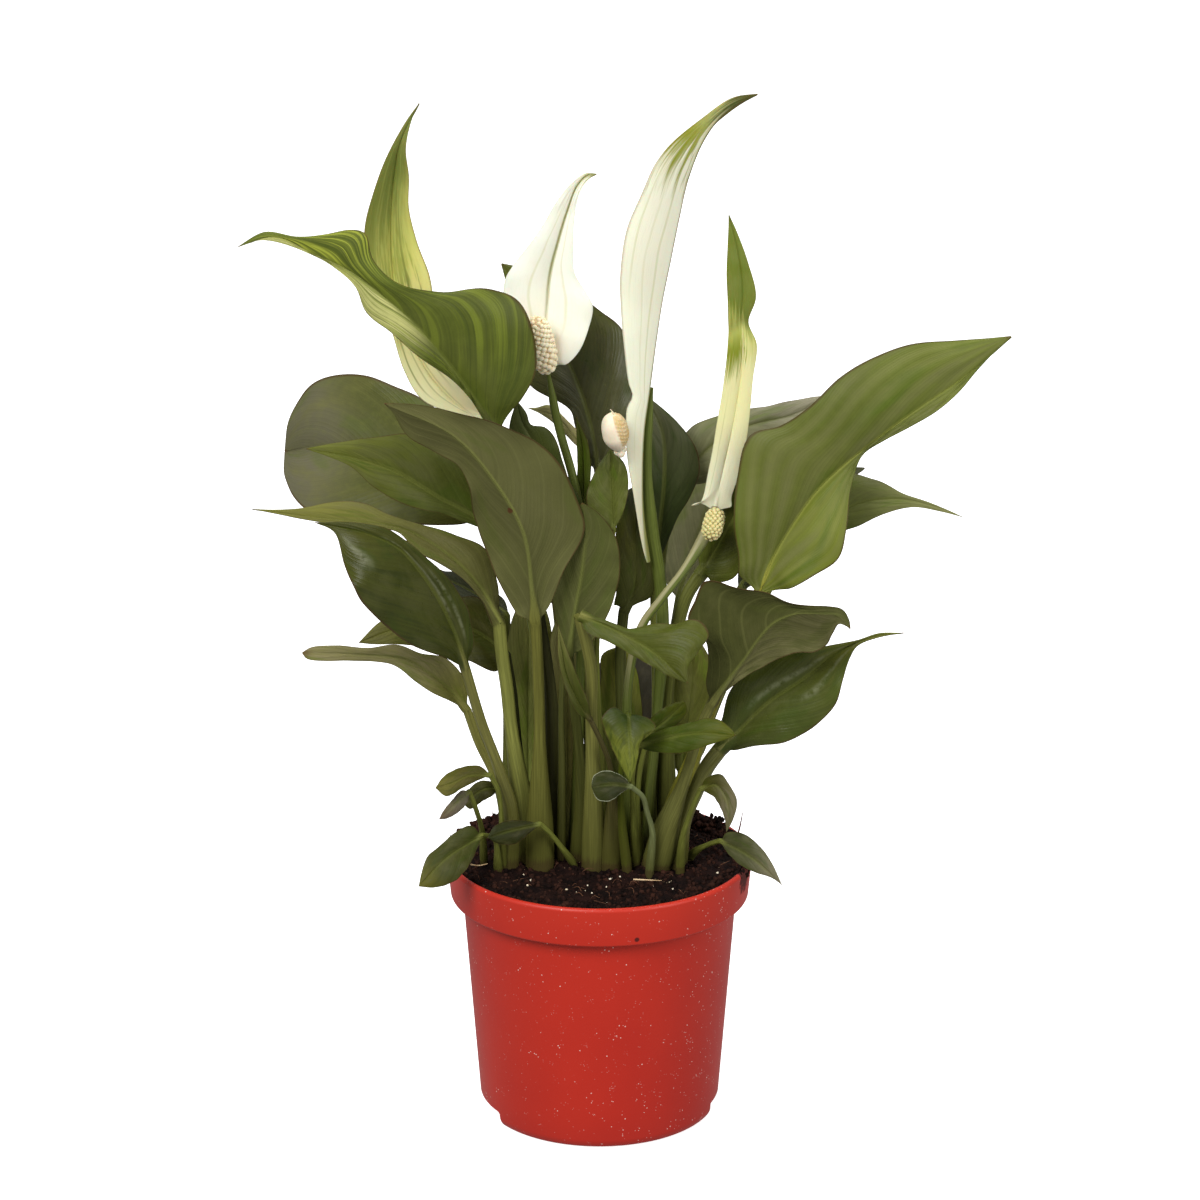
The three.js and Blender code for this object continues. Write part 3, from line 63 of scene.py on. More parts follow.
# Each leaf as the camera sees it, drawn on the plane y = 0. Rib and petiole ("stem") are points of across,
# up and depth, and the margins to the left and right of the rib are points of across and up. "root" is its
# place on the soil, "r" and "thin" are the petiole's radius below and above, "turn" and "fold" lean the sheet
# and its halves in depth, "wave" ripples the margins, and "under" shows the underside.
LEAVES = [
    {"name": "leaf_left_tall", "under": 1, "r": 2.8, "thin": 1.65, "root": [-17.4, -10],
     "stem": [[-17.6, 95, -11], [-17.5, 121, -12.5], [-18, 140, -14]],
     "rib": [[-18.5, 150, -15], [-19.5, 160, -16], [-22, 178, -19], [-30, 193, -23], [-42, 207, -29],
             [-61.5, 216.5, -38]],
     "left": [[-23, 152.5], [-29, 163], [-32.5, 172], [-36.3, 184], [-37.5, 192], [-41, 198.5],
              [-48, 202.5], [-55, 207], [-58.8, 213.5]],
     "right": [[-14.5, 156], [-10, 167], [-5, 176], [-4.3, 181], [-6.5, 188], [-11, 198], [-18, 205],
               [-27, 209.5], [-40, 213.5], [-52, 216]],
     "turn": [0.1, 0], "fold": [0.45, 0.3], "wave": [0.8, 3, 0.1]},
    {"name": "leaf_left_broad", "r": 1.3, "root": [-18, 11],
     "stem": [[-17, 100, 11], [-17.6, 125, 10], [-18.8, 145, 10], [-23, 165, 10], [-27, 178, 11]],
     "rib": [[-30, 186, 12], [-45, 194, 18], [-62, 201, 28], [-78, 204, 38], [-90, 202, 46]],
     "left": [[-38, 180.8], [-50, 180.3], [-62, 181], [-75, 182.3], [-84.5, 185], [-90, 194]],
     "right": [[-33, 200], [-42, 211.5], [-54, 219.5], [-66, 224.3], [-75, 224.8], [-83.5, 220.3],
               [-88.6, 211]],
     "turn": [0, 0.8], "wave": [1, 2.5, 0]},
    {"name": "leaf_left_inner", "r": 1.5, "root": [-17, -4],
     "stem": [[-17.2, 105, -4], [-17.8, 135, -5], [-21, 158, -6]],
     "rib": [[-28, 177, -8], [-37, 183.5, -9], [-46, 188.5, -10], [-58, 196, -12], [-70, 200.3, -14],
             [-84, 203, -16]],
     "left": [[-36, 180], [-45, 183.5], [-55, 186], [-64, 191], [-71, 197.5], [-78, 200.8]],
     "right": [[-31, 188], [-37, 198], [-45, 204.5], [-54, 207.3], [-65, 206.3], [-75, 204.8]],
     "turn": [0, 0.5], "wave": [0.5, 2, 0]},
    {"name": "leaf_left_long", "r": 2.9, "thin": 1.9, "root": [-24, -6],
     "stem": [[-22.9, 92, -6], [-24.6, 109, -7], [-26, 120, -7.2], [-27, 131, -7.5], [-28.3, 141, -7.8]],
     "rib": [[-29, 150, -8], [-35, 162, -9], [-44, 171.5, -10], [-57, 179.3, -12], [-70, 181.3, -14],
             [-82, 182.6, -16], [-100, 185, -18]],
     "left": [[-33, 156], [-40, 164.5], [-47, 169], [-53, 172.5], [-58, 178], [-70, 179.8], [-82, 181.3],
              [-92, 183.4]],
     "right": [[-29.5, 163], [-33, 173], [-42, 177.5], [-52, 180.6], [-61, 183.5], [-68, 187], [-77, 187],
               [-86, 185.2], [-93, 184.8]],
     "turn": [0, 0.9], "fold": [-0.4, 0], "wave": [0.3, 2, 0]},
    {"name": "leaf_left_glossy", "r": 1.9, "thin": 1.5, "root": [-26.4, -10.6],
     "stem": [[-26.2, 92, -11.5], [-28.7, 103, -13.5], [-30.9, 110, -15], [-34.3, 119.5, -17]],
     "rib": [[-39, 136.5, -22], [-41.5, 146, -25], [-46, 156.5, -29], [-51, 165, -33], [-58, 173.3, -38],
             [-68, 178, -44], [-82, 181, -50]],
     "left": [[-45, 140], [-54, 143.5], [-62, 149.7], [-69, 157.5], [-73.5, 168], [-76.3, 178]],
     "right": [[-36.6, 144], [-37.4, 152], [-40.4, 159.4], [-45.2, 166], [-51, 171.4], [-60, 178.6],
               [-70, 181]],
     "turn": [0.45, 0.3], "fold": [-0.15, -0.15], "wave": [0.8, 2.5, 0.3]},
    {"name": "leaf_mid_dull", "under": 1, "r": 2.18, "thin": 1.45, "root": [-5.5, -4.7],
     "stem": [[-4.8, 92, -6], [-6, 112, -7], [-7.6, 128, -8]],
     "rib": [[-9, 140, -9], [-7.5, 152, -9], [-5, 166, -9], [-4, 177, -10], [-5, 187, -12]],
     "left": [[-11.5, 147], [-13.7, 158], [-13, 170], [-9.5, 181]],
     "right": [[-3, 144], [1.5, 151], [5, 161], [6, 169], [4.5, 177], [0, 183.5]],
     "turn": [0.1, 0], "fold": [0.2, 0.3], "wave": [0.5, 2, 0]},
    {"name": "leaf_left_cut", "r": 1.5, "root": [-28.2, -2.2],
     "stem": [[-27.6, 90, -3], [-30.4, 102.5, -5], [-35.4, 114, -9]],
     "rib": [[-38.5, 123.5, -12], [-44, 130.5, -14], [-50, 135.5, -17], [-56, 139.3, -20], [-70, 141, -27],
             [-86.5, 141.5, -35]],
     "left": [[-43, 126.3], [-49, 129.3], [-54, 133], [-60, 137.7], [-72, 139], [-80, 138.9], [-85, 139.6]],
     "right": [[-38.5, 129], [-40.5, 135.5], [-45, 140], [-52, 141.4], [-59, 144], [-67, 143],
               [-76, 143.7], [-83.5, 143.2]],
     "turn": [0, 0.7], "wave": [0.4, 2, 0]},
    {"name": "leaf_left_low", "r": 1.3, "root": [-22, 1.3],
     "stem": [[-22, 95, 2], [-24, 115, 1], [-25.3, 130, 0]],
     "rib": [[-27, 141, 0], [-36, 148, 0], [-46, 150.5, -2], [-58, 149, -5], [-70, 144.5, -8]],
     "left": [[-30, 135.8], [-38, 139], [-48, 142.5], [-58, 144], [-65, 144]],
     "right": [[-29, 151], [-35, 158.4], [-43, 157.5], [-54, 154.8], [-63, 151.3]],
     "turn": [0, 0.5], "wave": [0.6, 2, 0]},
    {"name": "leaf_striped", "r": 2, "root": [-14, 0.5],
     "stem": [[-13.6, 105, 1], [-14.4, 130, 0], [-17.5, 155, -2], [-22.5, 182, -6]],
     "rib": [[-29, 207, -13], [-35, 217, -15], [-43, 228.5, -17], [-52, 239.3, -19], [-60, 246.8, -20],
             [-70, 254.8, -22], [-81, 260.2, -24], [-91, 264.8, -25], [-102, 261.8, -26]],
     "left": [[-33, 212.5], [-40, 221.5], [-47, 227], [-53, 231.5], [-60, 238], [-66, 243], [-69, 250.5],
              [-76, 256.8], [-86, 261.8], [-95, 263.8]],
     "right": [[-22, 218], [-18, 226], [-18.6, 236], [-23, 246.5], [-31, 249.7], [-45, 249], [-57, 251.5],
               [-63.5, 258], [-66, 265.8], [-70, 266.8], [-77, 265.6], [-85, 264.8], [-94, 266.2]],
     "turn": [0, 0.2], "fold": [-0.1, 0.1], "wave": [0.7, 4, 0.2]},
    {"name": "leaf_back_mid", "r": 1.3, "root": [-2, 12],
     "stem": [[-2, 100, 12], [-2, 130, 12], [-2, 160, 12], [-1.5, 182, 13]],
     "rib": [[0, 195, 14], [-3, 212, 17], [-9, 229, 20], [-17, 244, 23], [-27.8, 257.3, 24]],
     "left": [[-4.5, 201], [-7, 209.5], [-8.2, 214.2], [-12, 217], [-15.5, 218.8], [-20.3, 222.4],
              [-23, 232], [-24.3, 243], [-26.3, 251.5]],
     "right": [[5.5, 203], [9, 216], [9.5, 230], [6, 238.5], [0, 243.7], [-10, 250.5], [-20, 255.4]],
     "turn": [0, 0.3], "wave": [0.8, 2.5, 0]},
    {"name": "leaf_back_right", "r": 1.3, "root": [15, 4],
     "stem": [[15.5, 100, 7], [16.5, 125, 11], [16, 150, 14]],
     "rib": [[15.8, 166, 16], [17.3, 180, 17], [18.5, 194, 18], [18, 207, 20], [13, 219, 22]],
     "left": [[14.3, 172], [11.5, 182], [9.5, 193], [9.5, 207]],
     "right": [[18.5, 172.5], [22.5, 182.5], [27.5, 192], [28.5, 200], [25, 207.5], [19, 214]],
     "turn": [0, 0.3], "wave": [0.7, 2, 0]},
    {"name": "leaf_back_sliver", "r": 1.2, "root": [14, 10],
     "stem": [[15.5, 100, 13], [17, 125, 18], [17.3, 150, 22], [18.5, 175, 25]],
     "rib": [[23, 192, 27], [31, 203, 29], [42, 209.5, 31], [55, 213, 34], [67, 219, 38]],
     "left": [[22.5, 203], [27, 210], [37, 213.3], [48, 215.7], [59, 218]],
     "right": [[31, 193], [41, 197], [51, 201], [60, 208]],
     "turn": [0, 0.5], "wave": [0.5, 2, 0]},
    {"name": "leaf_blade_young", "small": 1, "r": 0.9, "root": [-3, 5],
     "stem": [[-3.5, 110, 5], [-4, 150, 5], [-3.8, 178, 5]],
     "rib": [[-4.5, 186, 6.2], [-4.5, 195, 6.8], [-4.9, 204, 7], [-6.6, 212.3, 7]],
     "left": [[-6.3, 191], [-6.3, 198], [-6.5, 205]],
     "right": [[-3, 191], [-2.5, 198], [-3.4, 205]],
     "fold": [-0.8, -0.8], "wave": [0, 1, 0]},
    {"name": "leaf_curled_mid", "small": 1, "r": 0.9, "root": [1.5, 1],
     "stem": [[0.5, 110, 1], [-0.7, 145, 0.5], [1.5, 166, 0]],
     "rib": [[4, 178.5, -1], [3.6, 190, 0], [3, 203, 1]],
     "left": [[-1, 182], [-3.8, 187.5], [-1.2, 196.5]],
     "right": [[6.8, 184], [8.3, 192], [7.2, 198.5]],
     "turn": [0, 0.2], "fold": [-0.3, -0.3], "wave": [0.3, 2, 0]},
    {"name": "leaf_right_large", "r": 2.4, "thin": 1.5, "root": [20, -3.4],
     "stem": [[21.6, 91, -3], [27.5, 109, -3], [36, 133, -1.5]],
     "rib": [[46, 159, 0], [50, 170, 1], [56, 181, 2], [62, 190, 3], [69, 197.3, 4], [76, 203.3, 5],
             [84, 209.8, 6], [92, 215.8, 8], [100, 221.6, 10], [108, 228, 12], [117, 236.2, 14]],
     "left": [[41, 162], [40, 171], [38.6, 181], [39.5, 195], [43, 207], [52, 210], [60, 215.7],
              [68, 223.8], [78, 230], [88, 233.7], [100, 234.8], [110, 235.5]],
     "right": [[54, 160.5], [62, 165], [68.8, 170], [71, 179], [72, 191], [75, 200.5], [81, 205.3],
               [89, 209.6], [97, 214.7], [103, 220.5], [108, 227], [112.5, 232]],
     "turn": [-0.15, 0.2], "fold": [-0.3, -0.3], "wave": [0.9, 3, 0.2]},
    {"name": "leaf_right_back", "r": 1.5, "root": [22.8, 2.6],
     "stem": [[23, 95, 4], [30, 115, 8], [41, 143, 12]],
     "rib": [[51, 166, 14], [62, 178, 16], [74, 186.5, 18], [86, 188, 19], [96, 186, 19],
             [104.5, 182.5, 18]],
     "left": [[52, 177], [60, 190], [70, 195.5], [79, 193.8], [87, 189.7], [96, 186.4]],
     "right": [[60, 170], [67, 176.8], [75, 180.2], [82, 183.6], [90, 185.5], [98, 184.2]],
     "turn": [0, 0.5], "wave": [0.5, 2, 0]},
    {"name": "leaf_right_dark", "r": 2.03, "thin": 2, "root": [20, 5.5],
     "stem": [[19.8, 100, 6.6], [19.6, 125, 8.6], [20.6, 140, 10.6], [22.6, 150, 12], [25.2, 159, 13]],
     "rib": [[28.8, 165, 14], [32.8, 172, 15], [39, 184, 16], [46, 196, 18]],
     "left": [[28.7, 168], [28.6, 174], [32.5, 183], [40, 193]],
     "right": [[33, 162.8], [38.8, 164.4], [44, 175], [48, 186]],
     "turn": [0, 0.3], "wave": [0.4, 2, 0]},
    {"name": "leaf_right_dull", "under": 1, "r": 2.9, "thin": 1.5, "root": [16.6, -11.2],
     "stem": [[20.3, 89, -13], [24.6, 101, -16], [29.5, 118, -21]],
     "rib": [[32.5, 125.5, -24], [37, 132, -27], [42, 139, -30], [47, 146.5, -34], [51, 150.8, -37],
             [57, 153.4, -41], [64, 153.4, -45], [69.5, 152.6, -48], [72.8, 148.6, -50]],
     "left": [[31, 131], [31.6, 139], [30.4, 146], [25.6, 151.2], [27.4, 157], [30.4, 163.2], [38, 161.7],
              [46, 160.2], [54, 157.3], [60, 155.8], [66, 155.7], [70.2, 154.8], [72.2, 151.8]],
     "right": [[36, 128.8], [42, 133.8], [48, 137.5], [56, 141.2], [62.5, 141.8], [65.6, 143.6],
               [67.6, 147.2], [69.2, 150.2], [71.4, 149.6]],
     "fold": [0.3, 0.2], "wave": [0.7, 2.5, 0]},
    {"name": "leaf_right_glossy", "r": 2.1, "thin": 2.3, "root": [22.6, -9.2],
     "stem": [[24.3, 88.5, -10], [28, 98, -12], [31.4, 106, -13.6]],
     "rib": [[35.2, 111.6, -15], [39.4, 116, -16.4], [49, 126, -19], [60, 134, -22], [68, 140.8, -25],
             [73.5, 144.1, -27], [80, 146.5, -29], [88.4, 147.6, -32]],
     "left": [[34.6, 117.4], [36, 122], [38, 130], [45, 136.8], [53, 140.6], [62, 142.8], [70, 144.4],
              [75, 145.5], [81, 147.5]],
     "right": [[38.6, 111.2], [45, 112.6], [54, 113.8], [62.5, 118.5], [69, 126], [70.8, 133],
               [72.6, 139.4], [74.9, 143.6], [80.5, 146]],
     "turn": [0, 0.55], "fold": [-0.1, -0.1], "wave": [0.7, 2.5, 0.1]},
    {"name": "leaf_mid_bright", "r": 2.2, "thin": 1.75, "root": [-2, -11],
     "stem": [[-1.8, 100, -13], [-2.4, 122, -15], [-2.6, 138, -17.5]],
     "rib": [[-5.8, 152.8, -22], [1.5, 150, -25], [8, 146.6, -28], [14, 143, -32], [19.5, 138.6, -36],
             [25.8, 132, -40]],
     "left": [[-2, 152.6], [4, 150.6], [9, 148.6], [14, 150], [22, 150.5], [29, 151.3], [31.6, 147],
              [28.5, 141.5], [25.8, 137]],
     "right": [[-4, 148], [3, 144.6], [9, 141], [15, 137.4], [21, 134]],
     "turn": [0, 0.25], "fold": [-0.1, -0.1], "wave": [0.4, 2, 0]},
    {"name": "leaf_mid_hanging", "small": 1, "r": 1, "root": [8, -14.6],
     "stem": [[6.5, 90, -18], [6.3, 106, -24], [7.6, 118, -29]],
     "rib": [[8.3, 123, -32], [8.8, 116.5, -36], [9.2, 109, -38.5], [9, 101.5, -40.5]],
     "left": [[13.5, 121.6], [16.4, 119], [12.3, 114.5], [11, 108]],
     "right": [[3.5, 124.5], [0.7, 121], [2.4, 115.5], [5.5, 108]],
     "fold": [0.25, 0.25]},
    {"name": "leaf_mid_right", "small": 1, "r": 1, "root": [10.6, -10.8],
     "stem": [[10, 90, -15], [9.6, 103, -20]],
     "rib": [[11, 112.5, -25], [20, 115.3, -29], [30, 116.8, -33], [39.8, 116, -36]],
     "left": [[15, 116.3], [25, 119.7], [33.5, 121.3], [38, 118.5]],
     "right": [[15, 111.1], [24, 110.5], [32, 113], [37, 114.8]],
     "turn": [0, 0.4], "wave": [0.3, 2, 0]},
    {"name": "leaf_mid_small", "small": 1, "r": 0.9, "root": [12, -6.3],
     "stem": [[11, 92, -8], [12, 106, -10]],
     "rib": [[14.5, 117, -12], [19, 120.5, -13.5], [25, 126.5, -15]],
     "left": [[14.5, 120.5], [18, 124], [22, 126.2]],
     "right": [[18.5, 117.4], [23, 119.8], [25.5, 123.5]],
     "turn": [0, 0.3]},
    {"name": "leaf_mid_curled", "small": 1, "r": 0.9, "root": [14.6, -17.4],
     "stem": [[15.6, 85.5, -18], [14, 92, -20], [12.6, 97, -22]],
     "rib": [[9.3, 100, -24], [4, 100.8, -26], [-2.4, 100, -28]],
     "left": [[6.5, 98.2], [3, 95.6], [-0.5, 96]],
     "right": [[7, 103], [2, 105], [-1.6, 103.4]],
     "turn": [0, 0.4], "wave": [0, 1, 0]},
    {"name": "leaf_rolled", "small": 1, "r": 2.2, "root": [3.4, -11.2],
     "stem": [[3.8, 92, -13], [3.2, 106, -17], [0.5, 114, -19]],
     "rib": [[-2.5, 120.5, -20], [-6.5, 127.5, -21], [-9.5, 135, -21], [-12, 150, -21]],
     "left": [[-6, 122.5], [-10, 131], [-12, 140]],
     "right": [[-3, 125.5], [-6.3, 134], [-10, 144]],
     "fold": [-0.8, -0.6], "wave": [0, 1, 0]},
    {"name": "leaf_low_left_1", "small": 1, "r": 0.9, "root": [-28.2, -13.1],
     "stem": [[-28.8, 90, -16], [-29.8, 99, -18.5]],
     "rib": [[-32, 103.6, -20], [-38, 103.7, -23], [-43, 101.3, -26], [-48.2, 99.6, -29]],
     "left": [[-36, 101.8], [-40, 99.7], [-45, 97]],
     "right": [[-35, 106.4], [-40, 106.2], [-45.5, 103.4]],
     "turn": [0, 0.5]},
    {"name": "leaf_low_left_2", "small": 1, "r": 0.8, "root": [-33.8, -9],
     "stem": [[-34.6, 86, -12.5], [-36, 92, -18]],
     "rib": [[-38.2, 98.5, -21], [-41, 96.2, -24], [-44, 93, -27], [-47.2, 89.8, -30]],
     "left": [[-38.8, 95.2], [-41.5, 92], [-45, 90]],
     "right": [[-40.5, 98.8], [-43.5, 95.6], [-46, 92.3]],
     "turn": [0, 0.2], "fold": [0.2, 0.2], "wave": [0, 1, 0]},
    {"name": "leaf_rim_left", "small": 1, "r": 0.9, "root": [-29.5, -15],
     "stem": [[-31, 83.8, -18]],
     "rib": [[-34.5, 84.8, -21.5], [-40, 81.5, -26], [-46, 77, -32], [-53.5, 68.5, -38]],
     "left": [[-36, 80.8], [-39, 74.5], [-43, 70.2], [-48.5, 68.2]],
     "right": [[-38, 87.8], [-43, 85.3], [-47, 81.5], [-50.8, 78], [-52.7, 72.5]],
     "turn": [0, 0.2], "wave": [0.3, 2, 0]},
    {"name": "leaf_low_mid", "small": 1, "r": 0.8, "root": [-7.5, -11],
     "stem": [[-10.5, 80, -14], [-14.5, 85.3, -16.5]],
     "rib": [[-17.5, 88.3, -18], [-23.5, 87, -20.5], [-29, 85.5, -22.5], [-33, 84, -24]],
     "left": [[-20.5, 85.6], [-25, 82], [-30, 82.2]],
     "right": [[-21, 89.2], [-27, 89.3], [-31, 87.5]],
     "turn": [0, 0.3]},
    {"name": "leaf_low_right", "small": 1, "r": 0.9, "root": [23.5, -14.5],
     "stem": [[24.5, 84, -16], [26.8, 92, -18]],
     "rib": [[29.6, 99.2, -20], [33.9, 100.8, -22], [36.7, 97.8, -24], [38.3, 92.2, -26],
             [37.4, 85.8, -27]],
     "left": [[31.2, 102.6], [35.4, 104], [37.9, 101], [40.4, 95.6], [39.4, 90]],
     "right": [[31.4, 98.2], [33.5, 96.9], [35.7, 93.2], [37, 89.2]]},
    {"name": "leaf_rim_right", "small": 1, "r": 0.9, "root": [26.4, -5.5],
     "stem": [[28.2, 79.6, -8], [32, 81.8, -13]],
     "rib": [[35.5, 83, -18], [41, 80.4, -23], [46.5, 76.6, -28], [54, 69, -34]],
     "left": [[37.5, 85.6], [42.5, 85.2], [47.5, 81], [51, 75.8]],
     "right": [[37.5, 79.6], [41.5, 75.4], [46, 73], [51, 71.2]],
     "turn": [0, 0.2], "wave": [0.3, 2, 0]},
    {"name": "leaf_inner_left", "small": 1, "r": 1, "root": [-20.5, 14.4],
     "stem": [[-20.6, 84, 14.2]],
     "rib": [[-20.6, 91, 14], [-20.8, 112, 13.8], [-20.6, 138, 13.6], [-20, 164, 13.6]],
     "left": [[-25, 97], [-27.4, 112], [-27.8, 132], [-25.8, 150]],
     "right": [[-16.6, 97], [-14.6, 112], [-13.6, 132], [-14.6, 152]]},
    {"name": "leaf_inner_mid", "small": 1, "r": 1, "root": [-9, 7.6],
     "stem": [[-9.2, 84, 7.8]],
     "rib": [[-9.5, 90, 8], [-9.6, 108, 8.2], [-9.6, 128, 8.5], [-9.4, 158, 9]],
     "left": [[-13, 96], [-14.6, 112], [-14.8, 130], [-13.8, 148]],
     "right": [[-6, 96], [-4.8, 110], [-4.6, 128], [-6, 146]]},
    {"name": "leaf_inner_right", "small": 1, "r": 1, "root": [6.5, 9.5],
     "stem": [[6.5, 84, 9.8]],
     "rib": [[6.5, 90, 10], [6.6, 108, 10.5], [7, 124, 11], [7, 144, 11.5]],
     "left": [[2, 96], [0.2, 108], [0.2, 122], [0.4, 134], [0.8, 141]],
     "right": [[16, 95], [15, 107], [12.8, 121], [10.8, 136]]},
    {"name": "leaf_inner_far", "small": 1, "r": 1, "root": [18.6, 9.4],
     "stem": [[19.4, 84, 10], [21.6, 96, 12.6]],
     "rib": [[23.6, 103.4, 14], [25.6, 118, 14.8], [27, 134, 15.4], [26.4, 149.4, 16]],
     "left": [[21, 108], [19.6, 118], [20, 131], [22.8, 143]],
     "right": [[27.6, 106], [31.4, 113], [33, 125], [32.2, 139]]},
    {"name": "leaf_mid_back", "small": 1, "r": 1, "root": [-11.4, -5],
     "stem": [[-11, 100, -4.6], [-11, 130, -4.4], [-9, 162, -3.4]],
     "rib": [[-7, 182, -2], [-10.6, 191, -1.6], [-15.6, 200, -1.6], [-20, 207, -2], [-22.4, 212, -2.6],
             [-23.6, 217.4, -3]],
     "left": [[-11.6, 185], [-19, 192], [-24.6, 201], [-25.8, 209]],
     "right": [[-5.4, 187.4], [-8.6, 193.4], [-10.7, 200], [-12.9, 206.6], [-15.6, 209.4], [-19.6, 210.2],
               [-20.8, 213.6]]},
    {"name": "leaf_back_strip", "small": 1, "r": 0.9, "root": [-6, 11.6],
     "stem": [[-6, 100, 11.8], [-6, 140, 11.6], [-4.6, 175, 10.6], [-3.4, 192, 10]],
     "rib": [[-3, 199, 9.6], [-7.4, 206.6, 9.4], [-12.4, 212.4, 9.4], [-20.6, 215.1, 9.4]],
     "left": [[-5.2, 202.4], [-8, 205.3], [-10.4, 207.9], [-13.5, 210.9], [-17, 213.4]],
     "right": [[-3.6, 206], [-7.1, 209.3], [-10, 212.3], [-12.6, 214.9], [-14.8, 216], [-17.8, 215.2]],
     "wave": [0, 1, 0]},
    {"name": "leaf_back_low", "small": 1, "r": 1, "thin": 1.6, "root": [9.6, 3.8],
     "stem": [[8, 100, 4.4], [6.4, 125, 6.4], [6.1, 143, 8.6]],
     "rib": [[7, 154, 10], [9.8, 160, 10.2], [10.6, 166, 10.6], [10.4, 178, 11.2], [10.2, 192, 12]],
     "left": [[4.4, 155.4], [4.8, 160], [4.8, 166], [4.6, 174], [5.2, 183], [7.4, 190]],
     "right": [[10.4, 156.2], [14.6, 158.4], [16, 162], [15.8, 168], [15.4, 176], [12.6, 186]]},
    {"name": "leaf_low_left_3", "small": 1, "r": 0.8, "root": [-28.6, -6.2],
     "stem": [[-28.8, 90, -6.6], [-29.2, 96.8, -7.6]],
     "rib": [[-29.8, 99.6, -9], [-33.4, 99.6, -11.4], [-37, 97.4, -13.6], [-39.6, 94.2, -15]],
     "left": [[-31, 97.6], [-34.5, 95.4], [-38, 93]],
     "right": [[-31, 101.3], [-35, 101.8], [-38.6, 98.8]],
     "turn": [0, 0.2]},
]
# Leaves behind the others: where the petiole ends, where the tip is, how far the rib rises, half the width.
REAR = [
    {"name": "leaf_rear_1", "r": 1.4, "root": [-27, 14.6], "knee": [-27.5, 18, 147],
     "tip": [-60, 46, 152], "rise": 6, "half": 7},
    {"name": "leaf_rear_2", "r": 1.4, "root": [-12, 14], "knee": [-20, 30, 158], "tip": [-52, 64, 196],
     "rise": 14, "half": 11},
    {"name": "leaf_rear_3", "r": 1.4, "root": [-6, 21], "knee": [-13, 42, 143], "tip": [-24, 92, 170],
     "rise": 22, "half": 14},
    {"name": "leaf_rear_4", "r": 1.4, "root": [4, 18], "knee": [5, 34, 92], "tip": [10, 84, 112],
     "rise": 16, "half": 12},
    {"name": "leaf_rear_5", "r": 1.4, "root": [12, 18], "knee": [24, 42, 145], "tip": [46, 84, 186],
     "rise": 16, "half": 14},
    {"name": "leaf_rear_6", "r": 1.4, "root": [22, 12], "knee": [42, 34, 150], "tip": [80, 60, 180],
     "rise": 12, "half": 10},
]
# Spathes are drawn like leaves.
SPATHES = [
    {"name": "spathe_tall_left",
     "rib": [[-31, 210.5, 9], [-39, 215, 11], [-47, 223, 13], [-53, 234, 15], [-57, 246, 15],
             [-58.5, 258, 14], [-58.5, 270, 12], [-57.5, 282, 10], [-55.5, 292, 8], [-50, 303, 6]],
     "left": [[-41, 213.3], [-50.5, 217.5], [-55.5, 226], [-59, 238], [-63, 248], [-65.8, 258], [-66, 267],
              [-63.5, 277], [-59.5, 287.5], [-54, 297.5]],
     "right": [[-34.4, 217], [-38.6, 223.6], [-45.2, 232], [-46.5, 243], [-48, 254], [-51.5, 264],
               [-53.4, 273], [-53.3, 282], [-54, 290], [-52.3, 298]],
     "fold": [-0.5, -0.5]},
    {"name": "spathe_white",
     "rib": [[-15, 224.5, 7], [-16.3, 232, 8.5], [-15.2, 241, 9], [-14, 254, 9], [-11.8, 263, 8],
             [-9.1, 272, 7], [-6.1, 279.6, 6], [-3, 282.6, 5.3], [-0.6, 282.6, 5]],
     "left": [[-19, 227], [-23, 235], [-26.9, 245], [-26.6, 252.5], [-24, 257], [-20, 262.3], [-16, 268],
              [-12.3, 274.5], [-8.2, 279.8], [-4, 282.9]],
     "right": [[-12.2, 226.8], [-8.8, 228.3], [-5.6, 232], [-3.2, 238], [-1.9, 244.8], [-4, 249.2],
               [-7, 254.5], [-7.3, 263], [-6.8, 272], [-5, 278.5], [-2.5, 281.6]],
     "fold": [-0.4, -0.4], "wave": [0.3, 2, 0]},
    {"name": "spathe_tallest",
     "rib": [[14.2, 167.5, 3.6], [13.1, 177, 2.4], [12.5, 186, 1.8], [12.4, 197, 1.8], [12.8, 208, 2.4],
             [14.3, 220, 3.6], [16, 234, 4], [17.7, 246, 4], [20, 258, 3], [22.3, 270, 2], [25, 282, 1],
             [29.5, 293, 0], [35, 300, -1], [44.5, 305.5, -2]],
     "left": [[13, 171], [11.2, 180], [9.6, 190], [8, 200], [7.5, 209], [7.9, 215], [9.5, 218.6],
              [8.4, 222], [7, 232], [6.2, 243], [5.8, 254], [7.5, 266], [11.5, 276.5], [15.5, 285.5],
              [21, 292.2], [28.5, 298.5], [37, 304.3]],
     "right": [[13.6, 172], [12.4, 183], [11.3, 195], [10.2, 207], [10.8, 221], [9.7, 233], [9, 244],
               [9, 254], [10.8, 265], [14.5, 274.5], [18.5, 283], [24, 290], [31, 296], [38.5, 302]],
     "fold": [-0.75, 0.75]},
    {"name": "spathe_green",
     "rib": [[33, 184.2, 12], [34.6, 193, 13], [37.5, 207, 14], [39.7, 221, 14], [40.9, 233, 13],
             [40.4, 243, 12], [40.2, 252, 11], [38.8, 261, 10], [36.2, 271.5, 9]],
     "left": [[28, 183.4], [29.8, 189], [31.5, 198], [33.4, 210], [35.2, 222], [36.2, 232], [36.3, 243],
              [35.8, 254], [36, 262], [36.2, 268]],
     "right": [[36.2, 183.8], [38, 189.5], [40.5, 198], [42.6, 211], [43.5, 223], [44.6, 233.5],
               [42.3, 240.2], [44.2, 247.5], [42, 257], [38.5, 266.5]],
     "fold": [-0.06, -0.06]},
]
